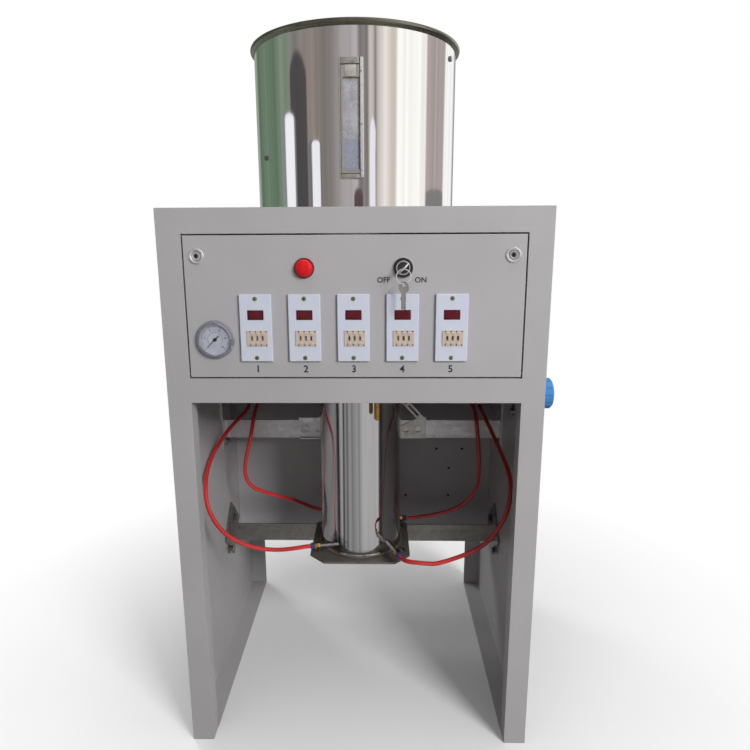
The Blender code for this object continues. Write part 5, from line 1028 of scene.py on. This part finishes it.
def word_mesh(text, size):
    """A number or word with a little thickness, as vertices and faces centred on the XY plane."""
    curve = bpy.data.curves.new("word", "FONT")
    curve.body = text
    curve.size = size
    curve.align_x = "CENTER"
    curve.align_y = "CENTER"
    curve.resolution_u = 3
    curve.offset = size * 0.018
    curve.extrude = size * 0.006
    obj = bpy.data.objects.new("word", curve)
    bpy.context.scene.collection.objects.link(obj)
    bpy.context.view_layer.update()
    mesh = bpy.data.meshes.new_from_object(obj.evaluated_get(bpy.context.evaluated_depsgraph_get()))
    welded = bmesh.new()
    welded.from_mesh(mesh)
    bmesh.ops.remove_doubles(welded, verts=welded.verts, dist=1e-7)
    welded.verts.index_update()
    verts = [vert.co.copy() for vert in welded.verts]
    faces = [[vert.index for vert in face.verts] for face in welded.faces]
    welded.free()
    bpy.data.objects.remove(obj)
    bpy.data.meshes.remove(mesh)
    bpy.data.curves.remove(curve)
    middle = [(min(vert[axis] for vert in verts) + max(vert[axis] for vert in verts)) / 2 for axis in (0, 1)]
    return [vert - Vector((*middle, 0)) for vert in verts], faces


WORDS = {}


def add_word(bm, text, size, place):
    if (text, size) not in WORDS:
        WORDS[text, size] = word_mesh(text, size)
    verts, faces = WORDS[text, size]
    made = [bm.verts.new(place @ vert) for vert in verts]
    for face in faces:
        bm.faces.new([made[index] for index in face])


def make_gauge():
    x, z = GAUGE_AT
    place = on_face(x, 0, z)
    bezel = [
        (0.02352, 0.0027), (0.02352, 0.0074), (0.0240, 0.0084), (0.0250, 0.0084), (0.0257, 0.0076),
        (0.02575, 0.0034), (0.0262, 0.0033), (0.0285, 0.0033), (0.0291, 0.0028), (0.0291, 0.0001),
        (0.0258, 0.0001), (0.0258, 0.0027)]
    turned_piece("gauge_bezel", BEZEL_PLATE, "door", [place], bezel, 96)
    dial = [(0.0014, 0.00252), (0.0234, 0.00252), (0.0234, 0.0026), (0.0014, 0.0026)]
    turned_piece("gauge_dial", DIAL, "door", [place], dial, 72)

    # Outer scale with a long tick at every fifth step and numbers inside it, and a finer inner scale
    bm = bmesh.new()
    start, sweep = 225.0, -270.0
    for step in range(51):
        angle = start + sweep * step / 50
        inner, half = (0.0197, 0.35) if step % 5 else (0.0186, 0.75)
        arc_strip(bm, place, inner, 0.0210, angle - half, angle + half, 1)
    for step in range(41):
        angle = start + sweep * step / 40
        arc_strip(bm, place, 0.0103, 0.0112, angle - 0.4, angle + 0.4, 1)
    for inner, outer in ((0.0210, 0.02125), (0.0112, 0.0115)):
        arc_strip(bm, place, inner, outer, start, start + sweep)
    for number in range(0, 11, 2):
        angle = math.radians(start + sweep * number / 10)
        spot = Vector((math.cos(angle) * 0.0157, math.sin(angle) * 0.0157, PRINT_LEVEL))
        add_word(bm, str(number), 0.0046, place @ Matrix.Translation(spot))
    piece("gauge_print", bm, [DIAL_PRINT], "door")

    glass = [(0, 0.0064), (0.0234, 0.0064), (0.0234, 0.0072), (0, 0.0073)]
    turned_piece("gauge_glass", GAUGE_GLASS, "door", [place], glass, 72, closed=False)

    bm = bmesh.new()
    for angle in (90, 334, 210):
        across, up = math.cos(math.radians(angle)) * 0.0275, math.sin(math.radians(angle)) * 0.0275
        add_screw(bm, at(x + across, -0.0033, z + up), FRONT, 0.0017, turn=angle)
    piece("gauge_screws", bm, [CHROME, DARK_PLASTIC_AND_SHADE], "door")


SEGMENTS = (
    (0.0, 1.0, True), (0.5, 0.5, False), (0.5, -0.5, False), (0.0, -1.0, True), (-0.5, -0.5, False),
    (-0.5, 0.5, False), (0.0, 0.0, True))


def add_seven_segment(bm, place, tall):
    half, wide, thick = tall / 2, tall * 0.5, tall * 0.07
    for across, up, flat in SEGMENTS:
        reach = (wide * 0.38, thick) if flat else (thick, half * 0.42)
        add_box(
            bm, (-reach[0], -reach[1], -PRINT_THICKNESS / 2), (*reach, PRINT_THICKNESS),
            place @ Matrix.Translation((across * wide, up * half, 0)), slot=1)


def make_timer(number):
    x = TIMER_XS[number]
    name = f"timer_{number + 1}"
    # Display glass with unlit segments, let into the plate's recess
    bm = bmesh.new()
    z = TIMER_Z + 0.0197
    add_tile(bm, (x, z), 0.01215, 0.0073, TIMER_FACE + 0.0002, TIMER_FACE + 0.00075, bevel=0.0003)
    for digit in (-1, 0, 1):
        add_seven_segment(bm, on_face(x + digit * 0.0066, TIMER_FACE + 0.00017, z), 0.0078)
    piece(name + "_display", bm, [DISPLAY, SEGMENT], "door")

    # Cream block with three slots for the wheels and a row of push tabs above and below
    bm = bmesh.new()
    middle = x + 0.00175
    columns = [x + offset + side * 0.0016 for offset in SLOT_OFFSETS for side in (-1, 1)]
    columns = [middle - 0.0155, *columns, middle + 0.0155]
    rows = [WHEEL_Z + rise for rise in (-0.0116, -0.0036, 0.0036, 0.0116)]
    front = TIMER_FACE - 0.0012
    slots = {(1, 1), (3, 1), (5, 1)}
    add_sheet(bm, columns, rows, slots, front, TIMER_FACE - SEAT, Matrix.Translation(SHIFT))
    for up in (-1, 1):
        for offset in SLOT_OFFSETS:
            spot = (x + offset, WHEEL_Z + up * 0.0075)
            add_tile(bm, spot, 0.0024, 0.0016, front - 0.0006, front + 0.0002, bevel=0.0003)
        for offset in (-0.0110, -0.0025, 0.0055, 0.0135):
            spot = (middle + offset, WHEEL_Z + up * 0.0102)
            add_tile(bm, spot, 0.0009, 0.0009, front - 0.00012, front + 0.0001, slot=1)
    piece(name + "_block", bm, [CREAM, DARK_PLASTIC_AND_SHADE], "door")

    bm = bmesh.new()
    for z in (0.7735, 0.6846):
        place = front_place((x, z), TIMER_FACE - SEAT)
        add_lathe(bm, [(0.0022, 0), (0.0033, 0), (0.0033, 0.0003), (0.0022, 0.0004)], place, 28, closed=True)
        add_screw(bm, at(x, TIMER_FACE - 0.0001, z), FRONT, 0.0024, turn=15 + 40 * number)
    piece(name + "_screws", bm, [SCREW_BRASS, DARK_PLASTIC_AND_SHADE], "door")


def make_wheel_digits(number):
    """Ten digits round each of three wheels, every one on its own flat, that turn with the wheels."""
    axle = at(TIMER_XS[number], 0.0082, WHEEL_Z)
    flat = 0.0112 * math.cos(math.radians(18)) + 0.00008
    outward = Matrix.Translation((0, -flat, 0)) @ Matrix.Rotation(math.radians(90), 4, "X")
    bm = bmesh.new()
    for wheel, offset in enumerate(SLOT_OFFSETS):
        hub = Matrix.Translation(axle + Vector((offset, 0, 0)))
        for digit in range(10):
            turn = Matrix.Rotation(math.radians(36 * (digit + (3 * number + 5 * wheel) % 10)), 4, "X")
            add_word(bm, str(digit), 0.0062, hub @ turn @ outward)
    piece(f"timer_{number + 1}_digits", bm, [DIGIT], f"wheels_{number + 1}")


def make_marks():
    bm = bmesh.new()
    for number, x in enumerate(TIMER_XS):
        add_word(bm, str(number + 1), 0.0150, on_face(x, -MARK_LIFT, 0.6668))
    for text, across in (("OFF", -0.0285), ("ON", 0.0260)):
        add_word(bm, text, 0.0112, on_face(SWITCH_AT[0] + across, -MARK_LIFT, SWITCH_AT[1] - 0.0175))
    piece("door_marks", bm, [LABEL], "door")


make_locks()
make_lamp()
make_switch()
make_gauge()
for timer_number in range(5):
    make_timer(timer_number)
    make_wheel_digits(timer_number)
make_marks()


# Back, sides and top: fasteners and trim

BACK_FACE = 0.4065


def make_back_details():
    bm = bmesh.new()
    levels = (0.215, 0.375, 0.535, 0.700, 0.860)
    spots = [(side * 0.270, z, 0.0042, 300 * z) for side in (-1, 1) for z in levels]
    spots += [(x, z, 0.0042, 25) for x in (-0.09, 0.09) for z in (0.205, 0.868)]
    spots += [(x, z, 0.0030, 50) for x in (-0.205, -0.095) for z in (0.728, 0.742)]
    for x, z, radius, turn in spots:
        add_screw(bm, at(x, BACK_FACE, z), BACK, radius, turn=turn)
    for side in (-1, 1):
        for y in (0.045, 0.22, 0.40):
            add_screw(bm, at(side * 0.282, y, 0.905), (0, 0, 1), 0.0040, turn=700 * y)
    piece("sheet_screws", bm, [STEEL_BOLT, DARK_PLASTIC_AND_SHADE], "cabinet")

    bm = bmesh.new()
    for step in range(6):
        angle = math.radians(30 + 60 * step)
        spot = at(0.048 * math.cos(angle), 0.480, 0.650 + 0.048 * math.sin(angle))
        add_hex_bolt(bm, spot, BACK, 0.0080, 0.0035, turn=11 * step)
    piece("duct_bolts", bm, [STEEL_BOLT], "cabinet")

    bm = bmesh.new()
    place = facing(at(-0.150, 0.405, 0.640), BACK)
    washer = [(0.0102, 0.0018), (0.0152, 0.0018), (0.0152, 0.0030), (0.0102, 0.0030)]
    nut = [(0.0108, 0.0032), (0.0156, 0.0036), (0.0156, 0.0074), (0.0108, 0.0078)]
    add_lathe(bm, washer, place, 32, closed=True, slot=1)
    add_lathe(bm, nut, place, 6, closed=True)
    for step in range(18):
        rib = place @ Matrix.Rotation(math.radians(20 * step), 4, "Z")
        add_box(bm, (0.0100, -0.0006, 0.0090), (0.0112, 0.0006, 0.0190), rib)
    piece("gland_trim", bm, [BLACK, DARK_PLASTIC_AND_SHADE], "cabinet")

    bm = bmesh.new()
    place = facing(at(0.150, BACK_FACE, 0.5925), BACK)
    washer = [(0.0088, 0.0001), (0.0150, 0.0001), (0.0150, 0.0016), (0.0088, 0.0016)]
    collar = [(0.0026, 0.0386), (0.0075, 0.0386), (0.0075, 0.0420), (0.0068, 0.0428), (0.0026, 0.0428)]
    add_lathe(bm, washer, place, 36, closed=True)
    add_lathe(bm, collar, place, 28, closed=True, slot=1)
    piece("inlet_trim", bm, [STEEL_BOLT, COLLAR], "cabinet")


def make_hole_plugs():
    spots = ((0.1668, 0.397), (0.2244, 0.397), (0.1956, 0.351), (0.1956, 0.2846), (0.098, 0.2846))
    plug = [
        (0, 0.0001), (0.0016, 0.0004), (0.0026, 0.0001), (0.0029, -0.0004), (0.0029, -0.0014),
        (0.0042, -0.0018), (0.0040, -0.0026), (0, -0.0030)]
    places = [front_place(spot, 0.405) for spot in spots]
    turned_piece("back_hole_plugs", DARK_PLASTIC_AND_SHADE, "cabinet", places, plug, 24, closed=False)


def make_inside_details():
    # Coil plugs and push-in ports on the valve bank
    bm = bmesh.new()
    for number in range(4):
        x = -0.150 + (number - 1.5) * 0.030
        add_tile(bm, (x, 0.786), 0.0090, 0.0110, 0.3740, 0.3787, bevel=0.0012)
        port = [(0.0022, 0), (0.0056, 0), (0.0056, 0.006), (0.0050, 0.007), (0.0022, 0.007)]
        add_lathe(bm, port, front_place((x, 0.7300), 0.3746), 24, closed=True, slot=1)
        add_screw(bm, at(x, 0.3740, 0.786), FRONT, 0.0024, slot=2, dark=3)
    piece("valve_bank_trim", bm, [BLACK, COLLAR, STEEL_BOLT, DARK_PLASTIC_AND_SHADE], "cabinet")

    # Regulator: a cap over its inner port
    low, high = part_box("regulator_body")
    place = facing(Vector((low.x, (low.y + high.y) / 2, (low.z + high.z) / 2)), (-1, 0, 0))
    cap = [(0, 0.0001), (0.012, 0.0001), (0.012, 0.003), (0.010, 0.0042), (0, 0.0042)]
    turned_piece("regulator_cap", GREY, "cabinet", [place], cap, 32, closed=False)

    # Knob: a pressed cap, darker than the grip
    place = facing(at(0.3113, 0.048, 0.617), (1, 0, 0))
    cap = [(0, -0.0006), (0.0150, -0.0006), (0.0150, -0.00025), (0.0142, -0.00008), (0, -0.00008)]
    turned_piece("knob_cap", KNOB_CAP, "knob", [place], cap, 48, closed=False)


make_back_details()
make_hole_plugs()
make_inside_details()


# Light: soft room for the metal to mirror, pale ground, a key lamp from the front right and two weaker ones

# The room's colours, by the angle round it
ROOM_BANDS = (
    (-180, (0.80, 0.80, 0.78)), (-166, (0.26, 0.27, 0.26)), (-150, (0.30, 0.36, 0.30)),
    (-142, (0.10, 0.16, 0.11)), (-118, (0.15, 0.22, 0.16)), (-100, (0.12, 0.18, 0.13)),
    (-88, (0.22, 0.28, 0.22)), (-78, (0.20, 0.25, 0.20)), (-74, (0.22, 0.22, 0.21)),
    (-54, (0.24, 0.22, 0.21)), (-50, (0.30, 0.26, 0.24)), (-31, (0.20, 0.18, 0.17)),
    (-24, (0.23, 0.215, 0.21)), (-12, (0.38, 0.36, 0.37)), (4, (0.46, 0.44, 0.48)), (7, (0.20, 0.18, 0.19)),
    (12, (0.24, 0.22, 0.23)), (15, (0.16, 0.15, 0.15)), (18, (0.62, 0.60, 0.58)), (22, (0.50, 0.45, 0.42)),
    (24, (0.18, 0.16, 0.16)), (26, (0.60, 0.57, 0.57)), (36, (0.80, 0.755, 0.74)), (46, (0.60, 0.54, 0.50)),
    (49, (1.0, 1.0, 1.0)), (86, (1.0, 1.0, 1.0)), (88, (0.42, 0.37, 0.37)), (121, (0.40, 0.36, 0.36)),
    (124, (0.95, 0.96, 0.98)), (146, (0.92, 0.93, 0.96)), (158, (0.20, 0.20, 0.20)),
    (180, (0.80, 0.80, 0.78)))


# Posts in the room: middle, half width and top in degrees, crown height as a share of the half width, colour
ROOM_POSTS = (
    (-64, 11, 15.9, 0.2, (0.075, 0.07, 0.075, 1)), (-77, 8.6, 11.2, 0.07, (0.24, 0.25, 0.30, 1)),
    (-77, 6.4, 11.1, 0.07, (0.90, 0.91, 0.98, 1)), (-44, 8.0, 9.0, 0.07, (0.16, 0.16, 0.19, 1)),
    (-43, 5.0, 8.9, 0.07, (0.86, 0.88, 0.95, 1)), (21, 3.2, 10.6, 0.5, (0.80, 0.82, 0.92, 1)),
    (5, 5.0, 4.9, 0.15, (0.10, 0.07, 0.08, 1)), (105, 17, 4.6, 0.02, (0.22, 0.21, 0.22, 1)))

FLOOR_SIZE = 6.0
FLOOR_LEVEL = -0.0004
# How dark the polished tube mirrors the ground, by the angle round the machine
FLOOR_STRIPES = (
    (-180, 0.5), (-75, 0.6), (-63, 0.68), (-61, 1.0), (-57, 1.0), (-55, 0.62), (-48, 0.66), (-46, 1.0),
    (-43, 1.0), (-41, 0.76), (-37, 0.76), (-35.5, 0.92), (-32, 0.9), (-30, 0.72), (-24, 0.72), (-21, 0.84),
    (-15, 0.74), (-6, 0.66), (-2, 0.8), (3, 0.62), (10, 0.54), (50, 0.52), (56, 0.85), (70, 0.97),
    (120, 0.9), (180, 0.5))


def make_world():
    world = bpy.data.worlds.new("room")
    world.use_nodes = True
    bpy.context.scene.world = world
    world.node_tree.nodes.clear()
    room = Graph(world.node_tree)
    direction = room.add("TexCoord")["Generated"]
    split = room.add("SeparateXYZ", (direction,))
    turn = room.azimuth(direction)

    # Curtain folds: fine upright streaks over the bands
    share = room.spread(turn, -math.pi, math.pi)
    fold = room.add("TexNoise", {"W": share, "Scale": 46, "Detail": 4}, noise_dimensions="1D")["Fac"]
    folds = room.spread(fold, 0.3, 0.7, 0.88, 1.08)
    colour = room.add("VectorMath", {0: room.bands(turn, ROOM_BANDS), "Scale": folds}, operation="SCALE")[0]
    rise = room.math("ARCSINE", split["Z"])
    for post in ROOM_POSTS:
        colour = add_post(room, turn, rise, *post, colour)

    paths = room.add("LightPath")
    strength = room.spread(split["X"], -0.9, 0.9, 0.07, 0.46)
    soft = room.add("Background", {"Color": (1.0, 0.998, 0.99, 1), "Strength": strength})[0]
    mirrored = room.add("Background", {"Color": colour, "Strength": 1.3})[0]
    white = room.add("Background", {"Color": (1, 1, 1, 1)})[0]
    lit = room.add("MixShader", (paths["Is Glossy Ray"], soft, mirrored))[0]
    seen = room.share("MAXIMUM", paths["Is Camera Ray"], paths["Is Transmission Ray"])
    room.add("OutputWorld", {"Surface": room.add("MixShader", (seen, lit, white))[0]})


def add_post(room, turn, rise, middle, half, top, crown_share, tint, below):
    """An upright post with a rounded top: inside where the squares of both offsets add to less than one."""
    crown_height = half * crown_share
    across = room.math("DIVIDE", room.math("SUBTRACT", turn, math.radians(middle)), math.radians(half))
    up = room.math("SUBTRACT", rise, math.radians(top - crown_height))
    above = room.math("MAXIMUM", room.math("DIVIDE", up, math.radians(crown_height)), 0.0)
    total = room.math("ADD", room.math("MULTIPLY", across, across), room.math("MULTIPLY", above, above))
    return room.mix(room.spread(total, 1.15, 0.8), below, tint)


def make_floor():
    bm = bmesh.new()
    corners = [(x * FLOOR_SIZE, y * FLOOR_SIZE) for x, y in ((-1, -1), (1, -1), (1, 1), (-1, 1))]
    bm.faces.new([bm.verts.new((x, y, FLOOR_LEVEL)) for x, y in corners])
    object_from("floor", bm, [floor_look()])


def floor_look():
    look = Look("pale_floor", Roughness=0.9, Specular_IOR_Level=0.2)
    paths = look.add("LightPath")
    seen = look.share("MAXIMUM", paths["Is Camera Ray"], paths["Is Glossy Ray"])
    pale = look.mix(look.spread(look.noise(3), 0.3, 0.7), (0.90, 0.90, 0.90, 1), (0.93, 0.93, 0.93, 1))
    look.colour(look.mix(seen, (0.28, 0.27, 0.26, 1), pale))

    # The ground turns to plain white away from the machine, and keeps its shadow near it
    distance = look.add("VectorMath", (look.place,), operation="LENGTH")["Value"]
    away = look.share("MULTIPLY", look.spread(distance, 0.36, 1.0), seen)
    glow = look.add("Emission", {"Color": (1, 1, 1, 1)})[0]
    surface = look.add("MixShader", (away, look.shader.outputs[0], glow))[0]

    # The polished tube mirrors a darker ground, with stripes from furniture legs round the machine
    levels = [(angle, (level, level, level)) for angle, level in FLOOR_STRIPES]
    stripes = look.bands(look.azimuth(look.place), levels)
    shade = look.share("MULTIPLY", stripes, look.spread(distance, 0.25, 0.45))
    shade = look.share("MULTIPLY", shade, paths["Is Glossy Ray"])
    dark = look.add("Emission", {"Color": (0.05, 0.05, 0.055, 1)})[0]
    surface = look.add("MixShader", (shade, surface, dark))[0]
    look.feed(look.tree.nodes["Material Output"].inputs["Surface"], surface)
    return look.material


def make_lamp_panel(name, place, target, size, energy):
    lamp = bpy.data.lights.new(name, "AREA")
    lamp.shape = "SQUARE"
    lamp.size = size
    lamp.energy = energy
    obj = bpy.data.objects.new(name, lamp)
    bpy.context.scene.collection.objects.link(obj)
    obj.location = place
    obj.rotation_euler = (Vector(target) - Vector(place)).to_track_quat("-Z", "Y").to_euler()
    obj.visible_glossy = False


make_world()
make_floor()
make_lamp_panel("key_lamp", (1.9, -2.6, 2.1), (0, 0, 0.7), 1.1, 90)
make_lamp_panel("top_lamp", (-0.4, -0.2, 3.2), (0, 0, 0.6), 2.2, 32)
make_lamp_panel("rear_lamp", (-2.4, 2.3, 1.9), (0, 0, 0.7), 1.2, 40)

bpy.context.scene.view_settings.view_transform = "Standard"
